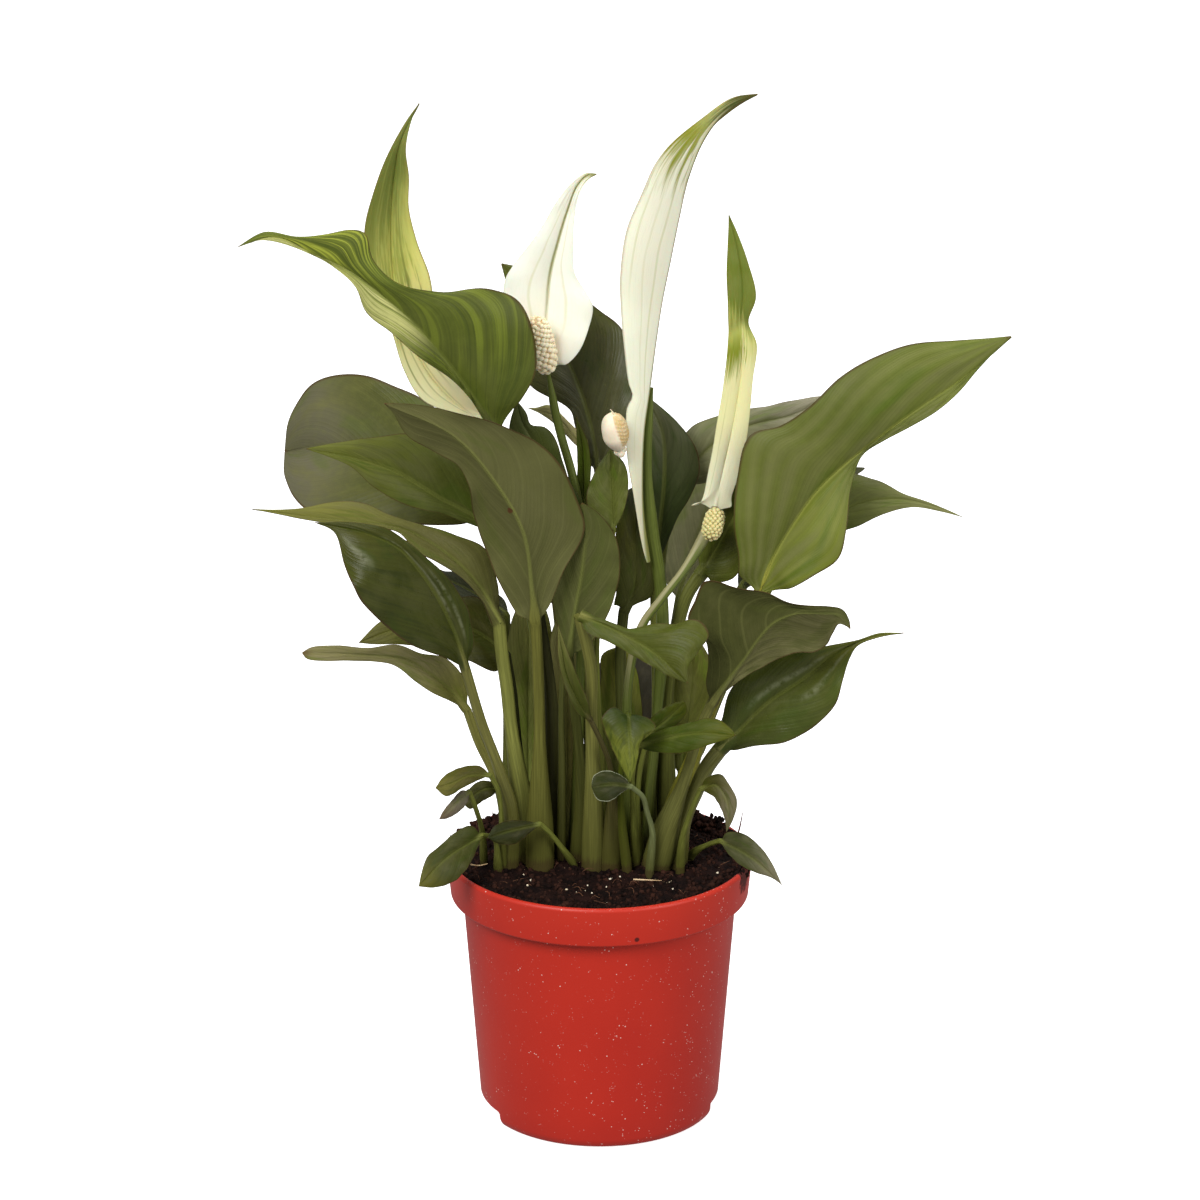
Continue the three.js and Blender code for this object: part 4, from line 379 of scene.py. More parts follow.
# Flower stems by their path; "swell" thickens one between two shares of its length.
STALKS = [
    {"name": "stem_tall_left", "r": 1.5, "root": [-16, 6.5],
     "path": [[-15.6, 105, 6.5], [-16, 130, 6.5], [-18.6, 155, 6.5], [-23, 182, 7], [-27, 200, 8],
              [-30.4, 210.2, 6.9], [-32, 212.2, 7]]},
    {"name": "stem_white", "r": 1.5, "root": [-8, 1],
     "path": [[-6.5, 105, 1], [-5.5, 140, 1], [-5, 165, 2], [-6, 186, 3], [-8, 196, 4], [-11, 207, 5],
              [-12.8, 215, 5.4], [-14.6, 225.3, 4.8]]},
    {"name": "stem_tallest", "r": 1.6, "swell": [0.3, 0.84, 0.6], "root": [13.6, -1.2],
     "path": [[15, 100, 2], [17, 125, 5], [18.3, 150, 7], [17.4, 164, 7.5], [15.4, 177, 6.4],
              [14, 190, 5.2], [13.7, 202, 5.2], [14.1, 212, 5.6], [14.8, 221, 5.6]]},
    {"name": "stem_green", "r": 1.6, "swell": [0.8, 1.3, 0.5], "root": [7.6, -2.2],
     "path": [[8.5, 105, -2], [8.2, 130, -2], [12, 149, -1], [18, 158, 0], [24, 166, 3], [29, 174.5, 7],
              [32.6, 182.6, 9.2], [33.2, 185.6, 9.3]]},
]
SPADICES = [
    {"name": "spadix_tall_left", "r": 3.2, "from": [-31.6, 212.8, 5.6], "to": [-30.6, 226.5, 2.6]},
    {"name": "spadix_white", "r": 3.8, "from": [-14.8, 225.9, 4.1], "to": [-18, 241.3, -0.9]},
    {"name": "spadix_tallest", "r": 4, "from": [5.8, 201.8, -4.4], "to": [3.7, 213, -8]},
    {"name": "spadix_green", "r": 2.9, "from": [33.8, 184.8, 6], "to": [31.6, 176, 0.7]},
]

# ------------------------------------------------------------------ curves and blade surfaces


class Line:
    """A smooth line through points of two or three numbers, read by share of its length."""

    def __init__(self, points, steps=60):
        p = np.array([list(q) + [0] * (3 - len(q)) for q in points], float)
        p = np.vstack([2 * p[0] - p[1], p, 2 * p[-1] - p[-2]])
        run = []
        for a, b, c, d in zip(p, p[1:], p[2:], p[3:]):
            k0, k1, k2 = (max(np.sum((q - r) ** 2), 1e-12) ** 0.25 for q, r in ((b, a), (c, b), (d, c)))
            m0 = ((b - a) / k0 - (c - a) / (k0 + k1) + (c - b) / k1) * k1
            m1 = ((c - b) / k1 - (d - b) / (k1 + k2) + (d - c) / k2) * k1
            t = np.linspace(0, 1, steps, endpoint=False)[:, None]
            run.append(b + m0 * t + (3 * (c - b) - 2 * m0 - m1) * t**2 + (2 * (b - c) + m0 + m1) * t**3)
        self.points = np.vstack(run + [p[-2:-1]])
        far = np.cumsum(np.linalg.norm(np.diff(self.points, axis=0), axis=1))
        self.length = far[-1]
        self.share = np.concatenate([[0], far]) / far[-1]

    def at(self, t):
        t = np.clip(t, 0, 1)
        return np.stack([np.interp(t, self.share, self.points[:, i]) for i in range(3)], -1)


def seen(u, v, y):
    """The point on the sight line through (u, v) of the plane y = 0, at depth y."""
    k = 1 + y / EYE_BACK
    return np.stack([u * k, y, EYE_HIGH + (v - EYE_HIGH) * k], -1)


def ease(x, low=0.0, high=1.0):
    """0 below low, 1 above high, smooth between; low above high turns it round."""
    x = np.clip((x - low) / (high - low), 0, 1)
    return x * x * (3 - 2 * x)


def unit(v):
    return v / np.maximum(np.linalg.norm(v, axis=-1, keepdims=True), 1e-9)


def polar(r, a):
    """x and y at a distance and an angle from the middle of the pot."""
    return r * math.cos(a), r * math.sin(a)


def full_turn(count):
    """Evenly spaced angles once round."""
    return np.arange(count) * TAU / count


def outline_blade(d):
    """Surface of a blade given by its rib and margins: t from base to tip, s from -1 to 1 across."""
    rib, first, last = Line(d["rib"]), d["rib"][0][:2], d["rib"][-1][:2]
    left, right = (Line([first] + d[k] + [last]) for k in ("left", "right"))
    turn, fold = d.get("turn", (0, 0)), d.get("fold", (0, 0))
    height, count, start = d.get("wave", (0.2, 2, 0))

    def at(t, s):
        t = np.clip(t, 0, 1)
        u, v, y = np.moveaxis(rib.at(t), -1, 0)
        a, is_right = np.abs(s), s >= 0
        edge = np.where(is_right[..., None], right.at(t), left.at(t))
        du, dv = edge[..., 0] - u, edge[..., 1] - v
        w = np.hypot(du, dv)
        side_fold = np.where(is_right, fold[1], fold[0])
        bulge = BELLY * (1 if d.get("under") else -1) * w * a * (1 - a)
        wave = height * a * a * np.sin(TAU * (count * t + start) + np.where(is_right, 1.9, 0))
        wave = wave * np.minimum(1, 4 * t) * np.minimum(1, 5 * (1 - t)) * np.minimum(1, w / 8)
        deep = y + a * (turn[0] * du + turn[1] * dv + side_fold * w) + bulge + wave
        return seen(u + du * a, v + dv * a, deep)

    return at


def arched_blade(d):
    """Surface of a rear leaf: an arching rib and an even leaf outline."""
    a, b = np.array(d["knee"], float), np.array(d["tip"], float)
    mid = a + (b - a) * 0.55 + [0, 0, d["rise"]]
    flat = unit((b - a) * [1, 1, 0])
    across = np.array([flat[1], -flat[0], 0])

    def at(t, s):
        t = np.clip(t, 0, 1)[..., None]
        w = d["half"] * np.sin(np.pi * t**0.72) ** 0.8
        p = (1 - t) ** 2 * a + 2 * t * (1 - t) * mid + t * t * b
        up = -np.cross(unit((1 - t) * (mid - a) + t * (b - mid)), across)
        up = np.where(up[..., 2:] < 0, -up, up)
        s = s[..., None]
        h = np.abs(s)
        lift = w * (0.45 * h - 0.3 * h * h) + 0.7 * h * h * np.sin(TAU * 2.5 * t + s) * np.sin(np.pi * t)
        return p + across * s * w + up * lift

    return at


# ------------------------------------------------------------------ skins


def loft(name, rings, marks=None, crease=50):
    """A closed skin through rings of points in millimetres, first and last ring drawn to a point."""
    rings = np.concatenate([rings, rings[:, :1]], axis=1)
    ends = [np.repeat(rings[i].mean(0)[None, None], rings.shape[1], 1) for i in (0, -1)]
    rings = np.concatenate([ends[0], rings, ends[1]])
    rows, cols = rings.shape[:2]
    bpy.ops.mesh.primitive_grid_add(x_subdivisions=cols - 1, y_subdivisions=rows - 1, size=0.01)
    piece = bpy.context.object
    piece.name = piece.data.name = name
    piece.data.vertices.foreach_set("co", (rings * MM).astype(np.float32).ravel())
    for label, values in (marks or {}).items():
        values = np.concatenate([values, values[:, :1]], axis=1)
        values = np.concatenate([values[:1], values, values[-1:]])
        if values.ndim == 3:
            layer = piece.data.attributes.new(label, "FLOAT_VECTOR", "POINT")
            layer.data.foreach_set("vector", values.astype(np.float32).ravel())
        else:
            layer = piece.data.attributes.new(label, "FLOAT", "POINT")
            layer.data.foreach_set("value", values.astype(np.float32).ravel())
    close_skin(crease)
    return piece


def close_skin(crease=50):
    """Merges the seam and the poles of the active piece, turns its faces outwards and smooths it."""
    bpy.ops.object.mode_set(mode="EDIT")
    bpy.ops.mesh.select_all(action="SELECT")
    bpy.ops.mesh.remove_doubles(threshold=2e-6)
    bpy.ops.mesh.normals_make_consistent(inside=False)
    bpy.ops.object.mode_set(mode="OBJECT")
    bpy.ops.object.shade_smooth_by_angle(angle=math.radians(crease), keep_sharp_edges=False)


def settle(piece, slot, finish, *nodes):
    """Gives a finished piece its finish, its place on the plant and the solids it stands for."""
    piece.data.materials.clear()
    piece.data.materials.append(finish)
    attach(piece, "root")
    if nodes:
        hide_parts(*nodes)
    bpy.ops.object.select_all(action="DESELECT")


def shape_of(piece):
    """Points and faces of a small piece, for copying."""
    return np.array([v.co for v in piece.data.vertices]), [list(p.vertices) for p in piece.data.polygons]


def refill(piece, points, faces):
    """Gives a piece a new mesh, with its points in millimetres."""
    piece.data.clear_geometry()
    piece.data.from_pydata([tuple(np.array(p) * MM) for p in points], [], faces)


def join(first, *others):
    """Joins the pieces under the first one's name."""
    bpy.ops.object.select_all(action="DESELECT")
    for piece in (first, *others):
        piece.select_set(True)
    bpy.context.view_layer.objects.active = first
    bpy.ops.object.join()


def foot_points(d):
    """The way of a petiole or flower stem, from just above the soil up."""
    above = [list(seen(*map(float, p))) for p in d.get("stem", d.get("path", []))]
    return [[*d["root"], SOIL_HIGH + 1.8]] + above


def stem_rings(d, end, across, count, per, thin):
    """Rings of a petiole or flower stem from the soil up; a petiole is sheathed wide at the foot."""
    line = Line(foot_points(d) + ([list(end)] if end is not None else []))
    t = np.linspace(0, 1, count)
    p = line.at(t)
    tan = unit(line.at(t + 0.01) - line.at(t - 0.01))
    tan[0] = (0, 0, 1)
    p = np.vstack([[[*d["root"], SOIL_HIGH - ROOT_DEEP]], p])
    tan = np.vstack([[[0, 0, 1]], tan])
    t = np.concatenate([[0], t])
    side = unit(across - tan * (tan @ across)[:, None])
    front = np.cross(side, tan)
    r = d["r"] + (thin - d["r"]) * ease(t, 0.12, 0.62)
    if end is None:                                      # a flower stem fines down into its bloom
        r = r * (1 - 0.55 * ease(t, 0.93, 1.0))
        if "swell" in d:
            low, high, more = d["swell"]
            r = r + more * ease(t, low, low + 0.12) * ease(t, high, high - 0.12)
    else:                                                # a sheath hugs its neighbours at the soil
        r = r + SHEATH * d["r"] * ease(t, 0.55, 0.02)
    ang = np.pi - (np.arange(per) + 0.5) * TAU / per
    groove = 1 - 0.14 * np.exp(-(((ang - np.pi / 2) / 0.5) ** 2))
    rr = r[:, None] * groove[None, :]
    rings = (p[:, None] + side[:, None] * (np.cos(ang) * rr)[..., None]
             + front[:, None] * (np.sin(ang) * rr)[..., None])
    mark = np.stack([np.broadcast_to(np.cos(ang), rr.shape),
                     np.broadcast_to((t - 1)[:, None], rr.shape),
                     np.cos(ang)[None, :] * r[:, None]], -1)
    under = np.broadcast_to((np.sin(ang) < 0).astype(float), rr.shape)
    return rings, mark, under


def blade_rings(at, look, wide, count, thick, rib_r, seed, turned=False):
    """Rings across a blade: thin at the margins, with a round midrib and pillowed side veins."""
    rnd = random.Random(seed)
    f = np.linspace(0, 1, count)
    t = BLADE_FROM + (BLADE_TO - BLADE_FROM) * (0.82 * f + 0.18 * ease(f))
    q = np.linspace(-1, 1, wide)
    T, S = np.meshgrid(t, np.sign(q) * np.abs(q) ** 1.4, indexing="ij")
    P, C = at(T, S), at(T, 0 * S)
    across = at(T, np.minimum(S + 0.22, 1)) - at(T, np.maximum(S - 0.22, -1))
    along = at(T + 0.012, S) - at(T - 0.012, S)
    N = np.cross(across, along)
    size = np.linalg.norm(N, axis=-1, keepdims=True)
    N = np.where(size > 1e-5, N / np.maximum(size, 1e-9), 0)
    for i in range(1, count):
        weak = size[i, :, 0] <= 1e-5
        N[i, weak] = N[i - 1, weak]
    # near its foot a blade is no wider than its rib
    ref = [at(np.full(1, 0.12), np.full(1, k)) for k in (-1.0, 1.0)]
    sideways = unit((ref[1] - ref[0])[0])
    tan = unit(at(T + 0.012, 0 * S) - at(T - 0.012, 0 * S))
    sideways = unit(sideways - tan * (tan @ sideways)[..., None]) * np.sign(S)[..., None]
    out = P - C
    d = np.linalg.norm(out, axis=-1, keepdims=True)
    mix = ease(T, 0.0, 0.1)[..., None]
    heading = unit(sideways * (1 - mix) + unit(out) * mix)
    rib = rib_r * (1 - T) ** 1.1 * (1 - 0.35 * ease(T, 0, 0.3)) + 0.1
    reach = np.maximum(d[..., 0], np.abs(S) * rib)
    P = C + heading * reach[..., None]
    x = reach * np.sign(S)
    a = np.abs(S)
    w = np.broadcast_to(np.maximum(reach[:, :1], reach[:, -1:]), x.shape)
    # pillows between the side veins, fading towards the midrib and the margin
    phase = look["veins"] * (T - look.get("sweep", SWEEP) * a**1.15)
    phase = phase + 0.15 * np.sin(9 * T + seed) + (S > 0) * 0.5
    pillow = (np.abs(np.sin(np.pi * phase)) ** 0.7 - 0.6) * look.get("quilt", 0.3)
    pillow = pillow * np.minimum(1, w / 14) * ease(a, 0.03, 0.25) * ease(a, 1.02, 0.8)
    ruffle = look.get("ruffle", 0.3) * a**3 * np.sin(TAU * (6.3 * T + rnd.random()) + 2.4 * (S > 0))
    ruffle = ruffle * np.minimum(1, w / 12) * ease(T, 0, 0.2) * ease(T, 1, 0.8)
    pillow = pillow * ease(T, 0, 0.12)
    facing = -1 if turned else 1
    if "crease" in look:
        place, slope, high, width = look["crease"]
        pillow = pillow + high * np.exp(-(((T - place - slope * S) / width) ** 2)) * np.minimum(1, w / 3)
    P = P + N * (pillow * facing + ruffle)[..., None]
    round_rib = np.sqrt(np.maximum(rib**2 - x**2, 0))
    thin = thick * (1 - 0.6 * a**2) / 2
    upper = np.hypot(thin, round_rib * (1 - ease(T, 0, 0.16)))
    upper = upper - 0.22 * ease(T, 0.05, 0.2) * np.exp(-((x / (0.45 * rib + 0.15)) ** 2)) * (1 - 0.6 * T)
    lower = np.hypot(thin, round_rib * (1 - 0.3 * ease(T, 0, 0.2)))
    near, far = (lower, upper) if turned else (upper, lower)
    top = P + N * near[..., None]
    low = P - N * far[..., None]
    rings = np.concatenate([top, low[:, ::-1]], axis=1)
    mark = np.stack([S, T, x], -1)
    mark = np.concatenate([mark, mark[:, ::-1]], axis=1)
    under = np.concatenate([np.full(S.shape, float(turned)), np.full(S.shape, float(not turned))], axis=1)
    return rings, mark, under


# ------------------------------------------------------------------ finishes


def rgb(r, g, b):
    """A paint-chart colour as the shader wants it."""
    def one(c):
        c /= 255
        return c / 12.92 if c <= 0.04045 else ((c + 0.055) / 1.055) ** 2.4
    return (one(r), one(g), one(b), 1.0)


def tinted(colour, times, plus=0):
    """A paint-chart colour made darker or lighter."""
    return rgb(*[min(255, c * times + plus) for c in colour])


def between(a, b, share):
    """A paint-chart colour part of the way from a to b."""
    return rgb(*[(1 - share) * c + share * k for c, k in zip(a, b)])


class Wire:
    """A value inside a finish, with arithmetic that adds its Math nodes."""

    def __init__(self, finish, socket):
        self.finish, self.socket = finish, socket

    def _math(self, kind, a, b):
        return self.finish.node("ShaderNodeMath", {"operation": kind}, {0: a, 1: b})

    def __add__(self, o): return self._math("ADD", self, o)
    def __radd__(self, o): return self._math("ADD", o, self)
    def __sub__(self, o): return self._math("SUBTRACT", self, o)
    def __rsub__(self, o): return self._math("SUBTRACT", o, self)
    def __mul__(self, o): return self._math("MULTIPLY", self, o)
    def __rmul__(self, o): return self._math("MULTIPLY", o, self)
    def __pow__(self, o): return self._math("POWER", self, o)

    def make(self, kind, other=0.0):
        """Any other Math operation: FRACT, ABSOLUTE, MINIMUM, SQRT, GREATER_THAN."""
        return self._math(kind, self, other)

    def band(self, low, high):
        """0 below low, 1 above high, smooth between; low above high turns it round."""
        return self.finish.node("ShaderNodeMapRange", {"interpolation_type": "SMOOTHSTEP"},
                                {"Value": self, "From Min": low, "From Max": high})

    def strays(self, share, noise):
        """The value pushed up and down by a noise."""
        return self + share * (noise - 0.5)


class Finish:
    """One surface finish: a Principled shader and the nodes that vary it."""

    def __init__(self, name, **constants):
        self.material = bpy.data.materials.new(name)
        self.material.use_nodes = True
        self.tree = self.material.node_tree
        self.shader = self.tree.nodes["Principled BSDF"]
        self.sockets = {i.name.lower().replace(" ", "_"): i for i in self.shader.inputs}
        for socket, value in constants.items():
            self.sockets[socket].default_value = value

    def node(self, kind, settings=None, sockets=None, out=0):
        made = self.tree.nodes.new(kind)
        for key, value in (settings or {}).items():
            setattr(made, key, value)
        for key, value in (sockets or {}).items():
            if isinstance(value, Wire):
                self.tree.links.new(value.socket, made.inputs[key])
            else:
                made.inputs[key].default_value = value
        return Wire(self, made.outputs[out])

    def place(self):
        return self.node("ShaderNodeTexCoord", out="Object")

    def mark(self, name):
        wire = self.node("ShaderNodeAttribute", {"attribute_name": name}, out="Vector")
        split = self.node("ShaderNodeSeparateXYZ", sockets={0: wire}).socket.node
        return [Wire(self, o) for o in split.outputs]

    def number(self, name):
        return self.node("ShaderNodeAttribute", {"attribute_name": name}, out="Fac")

    def noise(self, at, scale, detail=3.0):
        return self.node("ShaderNodeTexNoise", sockets={"Vector": at, "Scale": scale, "Detail": detail,
                                                        "Roughness": 0.55}, out="Fac")

    def drawn(self, x, y, z, scale, detail=3.0):
        """Noise drawn out along or across a piece, on its own marks."""
        return self.noise(self.node("ShaderNodeCombineXYZ", sockets={0: x, 1: y, 2: z}), scale, detail)

    def cells(self, at, scale):
        return self.node("ShaderNodeTexVoronoi", sockets={"Vector": at, "Scale": scale}, out="Distance")

    def far_from(self, at, spot):
        """Distance from a spot on the piece, in metres."""
        return self.node("ShaderNodeVectorMath", {"operation": "DISTANCE"}, {0: at, 1: spot}, out="Value")

    def blend(self, share, a, b):
        return self.node("ShaderNodeMix", {"data_type": "RGBA"}, {0: share, 6: a, 7: b}, out=2)

    def bump(self, height, strength, depth_mm):
        return self.node("ShaderNodeBump", sockets={"Strength": strength, "Distance": depth_mm * MM,
                                                    "Height": height})

    def wear(self, **links):
        for socket, wire in links.items():
            self.tree.links.new(wire.socket, self.sockets[socket])
        return self.material


EARTH = (58, 42, 26)                # where stems and petioles meet the soil
SHEEN = {"glossy": (0.3, 0.26), "satin": (0.42, 0.13), "dull": (0.55, 0.09)}     # roughness, specular level


def leaf_finish(name, look):
    """A leaf with its petiole: veined blade, duller underside, midrib and stalk."""
    matt, mirror = SHEEN[look.get("kind", "satin")]
    f = Finish(name, specular_ior_level=mirror)
    s, t, x = f.mark("place")
    below = f.number("below")
    at = f.place()
    cloud = f.noise(at, 38.0)
    grain = f.noise(at, 420.0)
    pores = f.noise(at, 2600.0, 2.0)
    a = s.make("ABSOLUTE")
    base = look["base"]
    on_blade = t.band(-0.015, 0.03)
    # side veins sweep forward to the margin; finer ones run between them
    sweep = look["veins"] * (t - look.get("sweep", SWEEP) * a**1.15)
    sweep = sweep.strays(0.3, cloud) + 0.5 * s.make("GREATER_THAN")
    gap = (sweep.make("FRACT") - 0.5).make("ABSOLUTE")
    vein = gap.band(look.get("vein_from", 0.42), 0.49) * a.band(0.99, 0.8)
    fine = ((sweep * 6.0).make("FRACT") - 0.5).make("ABSOLUTE").band(0.2, 0.5)
    # the body colour, from foot to tip and from one half to the other
    near, far = look.get("tip_at", (0.35, 1.0))
    colour = f.blend(t.strays(0.25, cloud).band(near, far), rgb(*base), rgb(*look["tip"]))
    for half, turn in (("left", 1), ("right", -1)):
        if half in look:
            tint, share, start, end = look[half]
            ragged = t.strays(0.2, cloud)
            side = s.band(0.03 * turn, -0.03 * turn) * ragged.band(start - 0.08, start + 0.08)
            colour = f.blend(side * ragged.band(end + 0.1, end - 0.1) * share, colour, rgb(*tint))
    for tint, near, far, share in look.get("glow", ()):      # pale young tissue in broken lanes
        lanes = f.drawn(sweep * 1.5, a * 0.8, near, 1.5)
        patch = t.strays(0.3, cloud).band(near - 0.08, near + 0.1) * t.band(far + 0.1, far - 0.1)
        colour = f.blend(lanes.band(0.43, 0.6) * patch * share, colour, rgb(*tint))
    dark, share = look.get("bold", ([c * 0.8 for c in base], 0.34))     # darker bands along some veins
    lanes = f.drawn(sweep * 1.7, a * 0.6, 4.0, 1.7)
    colour = f.blend(lanes.band(0.5, 0.62) * share, colour, rgb(*dark))
    colour = f.blend(lanes.band(0.46, 0.36) * share * 0.4, colour, tinted(base, 1.2, 6))
    # broad fields: a painted grey-brown sheen in places, fresher green in others
    field = f.drawn(s * 1.5, t * 2.4, sum(base) * 0.37, 1.6)
    sheen_and_tone = look.get("sheen_and_tone", 0.5)
    fresh = rgb(base[0] * 0.86, base[1] * 1.02, base[2] * 0.5)
    colour = f.blend(field.band(0.5, 0.66) * sheen_and_tone, colour, between(base, (116, 108, 88), 0.34))
    colour = f.blend(field.band(0.47, 0.33) * sheen_and_tone, colour, fresh)
    colour = f.blend(cloud.band(0.35, 0.7) * 0.25, colour, tinted(base, 0.82))
    colour = f.blend(grain.band(0.4, 0.75) * 0.12, colour, tinted(base, 1.25, 6))
    colour = f.blend(fine * look.get("fine", 0.07), colour, tinted(base, 0.75))
    ridge = rgb(*look["vein_colour"]) if "vein_colour" in look else tinted(base, 1.25, 10)
    colour = f.blend(vein * look.get("vein", 0.12), colour, ridge)
    # the underside is duller, with a bloom and paler veins
    lower = f.blend(0.4 + 0.3 * grain, colour, between(base, (84, 84, 50), 0.5))
    lower = f.blend(vein * 0.14, lower, rgb(112, 112, 68))
    colour = f.blend(below.band(0.3, 0.7), colour, lower)
    # midrib, margin and a scorched point
    rib = x.make("ABSOLUTE").band(0.95, 0.3) * t.band(1.0, 0.5)
    colour = f.blend(rib * look.get("rib", 0.4), colour, rgb(*look.get("rib_colour", (112, 118, 56))))
    edge = a.strays(0.03, grain).band(0.955, 0.99)
    colour = f.blend(edge * 0.75, colour, rgb(*look.get("edge", (66, 46, 24))))
    scorch = t.strays(0.03, grain).band(look.get("scorch", 0.975), 1.0)
    colour = f.blend(scorch * 0.8, colour, rgb(86, 62, 34))
    if "spot" in look:                       # one small rusty spot
        place, share = look["spot"]
        far = (((s - place) * 13.0) ** 2.0 + ((t - share) * 70.0) ** 2.0).make("SQRT")
        colour = f.blend(far.strays(0.9, grain).band(0.9, 0.5) * 0.85, colour, rgb(86, 50, 28))
    for place, start, end in look.get("glint", ()):          # a painted highlight: a broken pale shine along the blade
        off = (s - place).strays(0.25, cloud).make("ABSOLUTE")
        shine = off.band(0.13, 0.0) * t.band(start, start + 0.1) * t.band(end, end - 0.1)
        colour = f.blend(shine * grain.band(0.3, 0.6) * 0.3, colour, rgb(150, 152, 122))
    # the petiole: light olive, streaked, darker and earthier at the soil
    streak = f.drawn(x * 1.6, t * 2.5, below * 3.0, 2.2)
    stalk = look.get("stalk", (88, 92, 38))
    skin = f.blend(streak.band(0.3, 0.75), rgb(*stalk), tinted(stalk, 1.22, 6))
    skin = f.blend(t.strays(0.1, streak).band(-0.4, -1.0) * 0.75, skin, rgb(72, 72, 28))
    skin = f.blend(t.strays(0.06, streak).band(-0.95, -0.99) * 0.6, skin, rgb(*EARTH))
    blade_or_rib = on_blade * (1 - x.make("ABSOLUTE").band(1.15, 0.7) * t.band(0.16, 0.0))
    colour = f.blend(blade_or_rib, skin, colour)
    rough = (matt + 0.1 * below + 0.1 * vein).strays(0.16, grain)
    relief = (0.5 * fine * on_blade + 0.5 * grain + 0.25 * pores - look.get("depth", 0.8) * vein * on_blade
              + 0.5 * streak * (1 - on_blade))
    return f.wear(base_color=colour, roughness=rough, normal=f.bump(relief, 0.45, 0.12))


def spathe_finish(name, look):
    """A spathe: waxy white, cream and green by place, with a green midrib and broken length streaks."""
    f = Finish(name, subsurface_weight=0.2, subsurface_scale=0.0015, specular_ior_level=0.25)
    s, t, x = f.mark("place")
    at = f.place()
    cloud, grain = f.noise(at, 45.0), f.noise(at, 500.0)
    a = s.make("ABSOLUTE")
    # streaks follow the length and fade in and out
    lanes = f.drawn(s * 2.4, t * 2.6, 0.3, 2.2, 4.0)
    thread = f.drawn(s * 8.0, t * 4.0, 1.3, 2.0)
    vein = (thread - 0.5).make("ABSOLUTE").band(0.035, 0.0) * a.band(0.03, 0.15)
    colour = f.blend(t.band(*look["mid_at"]), rgb(*look["foot"]), rgb(*look["mid"]))
    start, end, share = look["streaks"]
    ragged = t.strays(0.1, cloud).strays(0.22, thread)
    zone = ragged.band(start - 0.05, start + 0.05) * t.band(end + 0.1, end - 0.1)
    lean = look.get("side", 0.0)
    colour = f.blend((lanes.strays(0.5, thread) - lean * s).band(0.47, 0.6) * zone * share, colour,
                     rgb(*look.get("streak", (120, 130, 56))))
    low, high = look["green_at"]
    reach = t.strays(0.1, cloud).strays(0.22, lanes) - look.get("tilt", 0.0) * s
    colour = f.blend(reach.band(low - 0.1, low + 0.06) * look.get("yellow_share", 0.7), colour,
                     rgb(*look.get("yellow", (188, 186, 84))))
    colour = f.blend(reach.band(low, high), colour, rgb(*look["green"]))
    colour = f.blend(vein * look["threads"], colour, rgb(176, 168, 104))
    colour = f.blend(cloud.band(0.4, 0.75) * 0.14, colour, tinted(look["mid"], 0.92))
    start, share, wide = look["rib_at"]
    broken = t.strays(0.2, lanes)
    rib = x.make("ABSOLUTE").band(wide, wide * 0.25)
    colour = f.blend(rib * broken.band(start - 0.2, start + 0.15) * share, colour, rgb(*look["rib"]))
    for place, start, end, share in look["lines"]:           # a few long green veins
        sway = f.drawn(t * 3.0, place * 7.0, 0.0, 1.0, 2.0)
        line = (s - place).strays(0.3, sway).make("ABSOLUTE").band(look.get("line_wide", 0.05), 0.012)
        line = line * broken.band(start - 0.08, start + 0.08) * t.band(end + 0.08, end - 0.08)
        colour = f.blend(line * share, colour, rgb(*look["line"]))
    if "rib_foot" in look:                    # green carried up the rib from the stem
        tint, end, share = look["rib_foot"]
        foot = x.make("ABSOLUTE").band(1.2, 0.5) * t.band(end + 0.15, end - 0.05)
        colour = f.blend(foot * share, colour, rgb(*tint))
    if "fold" in look:                        # shade of a crease across the sheet
        place, slope, wide = look["fold"]
        across = (t - place - slope * s).make("ABSOLUTE").band(wide, 0.0)
        colour = f.blend(across * 0.3, colour, rgb(104, 104, 50))
    edge = a.strays(0.02, grain).band(0.94, 1.0)
    colour = f.blend(edge * look["edge"], colour, rgb(112, 104, 58))
    colour = f.blend(t.band(0.95, 1.0) * 0.7, colour, rgb(84, 78, 36))
    relief = 0.3 * lanes + 0.4 * grain - rib * 0.4 - vein * 0.3
    return f.wear(base_color=colour, roughness=0.5 + 0.16 * (grain - 0.5), normal=f.bump(relief, 0.4, 0.15))


def stem_finish(name, pale=None):
    """A flower stem: smooth green with fine length streaks, darker and earthier at the foot."""
    f = Finish(name, specular_ior_level=0.25)
    s, t, x = f.mark("place")
    streak = f.drawn(x * 2.0, t * 3.0, f.number("below") * 3.0, 2.4)
    grain = f.noise(f.place(), 700.0)
    colour = f.blend(streak.band(0.3, 0.7), rgb(74, 84, 28), rgb(98, 108, 44))
    colour = f.blend(grain.band(0.55, 0.8) * 0.2, colour, rgb(120, 126, 66))
    colour = f.blend(t.band(-0.6, -1.0) * 0.5, colour, rgb(76, 78, 32))
    colour = f.blend(t.strays(0.06, streak).band(-0.95, -0.99) * 0.6, colour, rgb(*EARTH))
    if pale:                                  # the spathe's pale foot runs down the stem
        tint, start, share = pale
        strip = t.strays(0.12, streak).band(start - 0.1, start + 0.1) * (s + 0.5 * t).band(0.05, -0.25)
        colour = f.blend((strip + t.band(-0.14, -0.06)).make("MINIMUM", 1.0) * share, colour, rgb(*tint))
    return f.wear(base_color=colour, roughness=0.44 + 0.16 * (grain - 0.5),
                  normal=f.bump(0.6 * streak + 0.4 * grain, 0.4, 0.12))


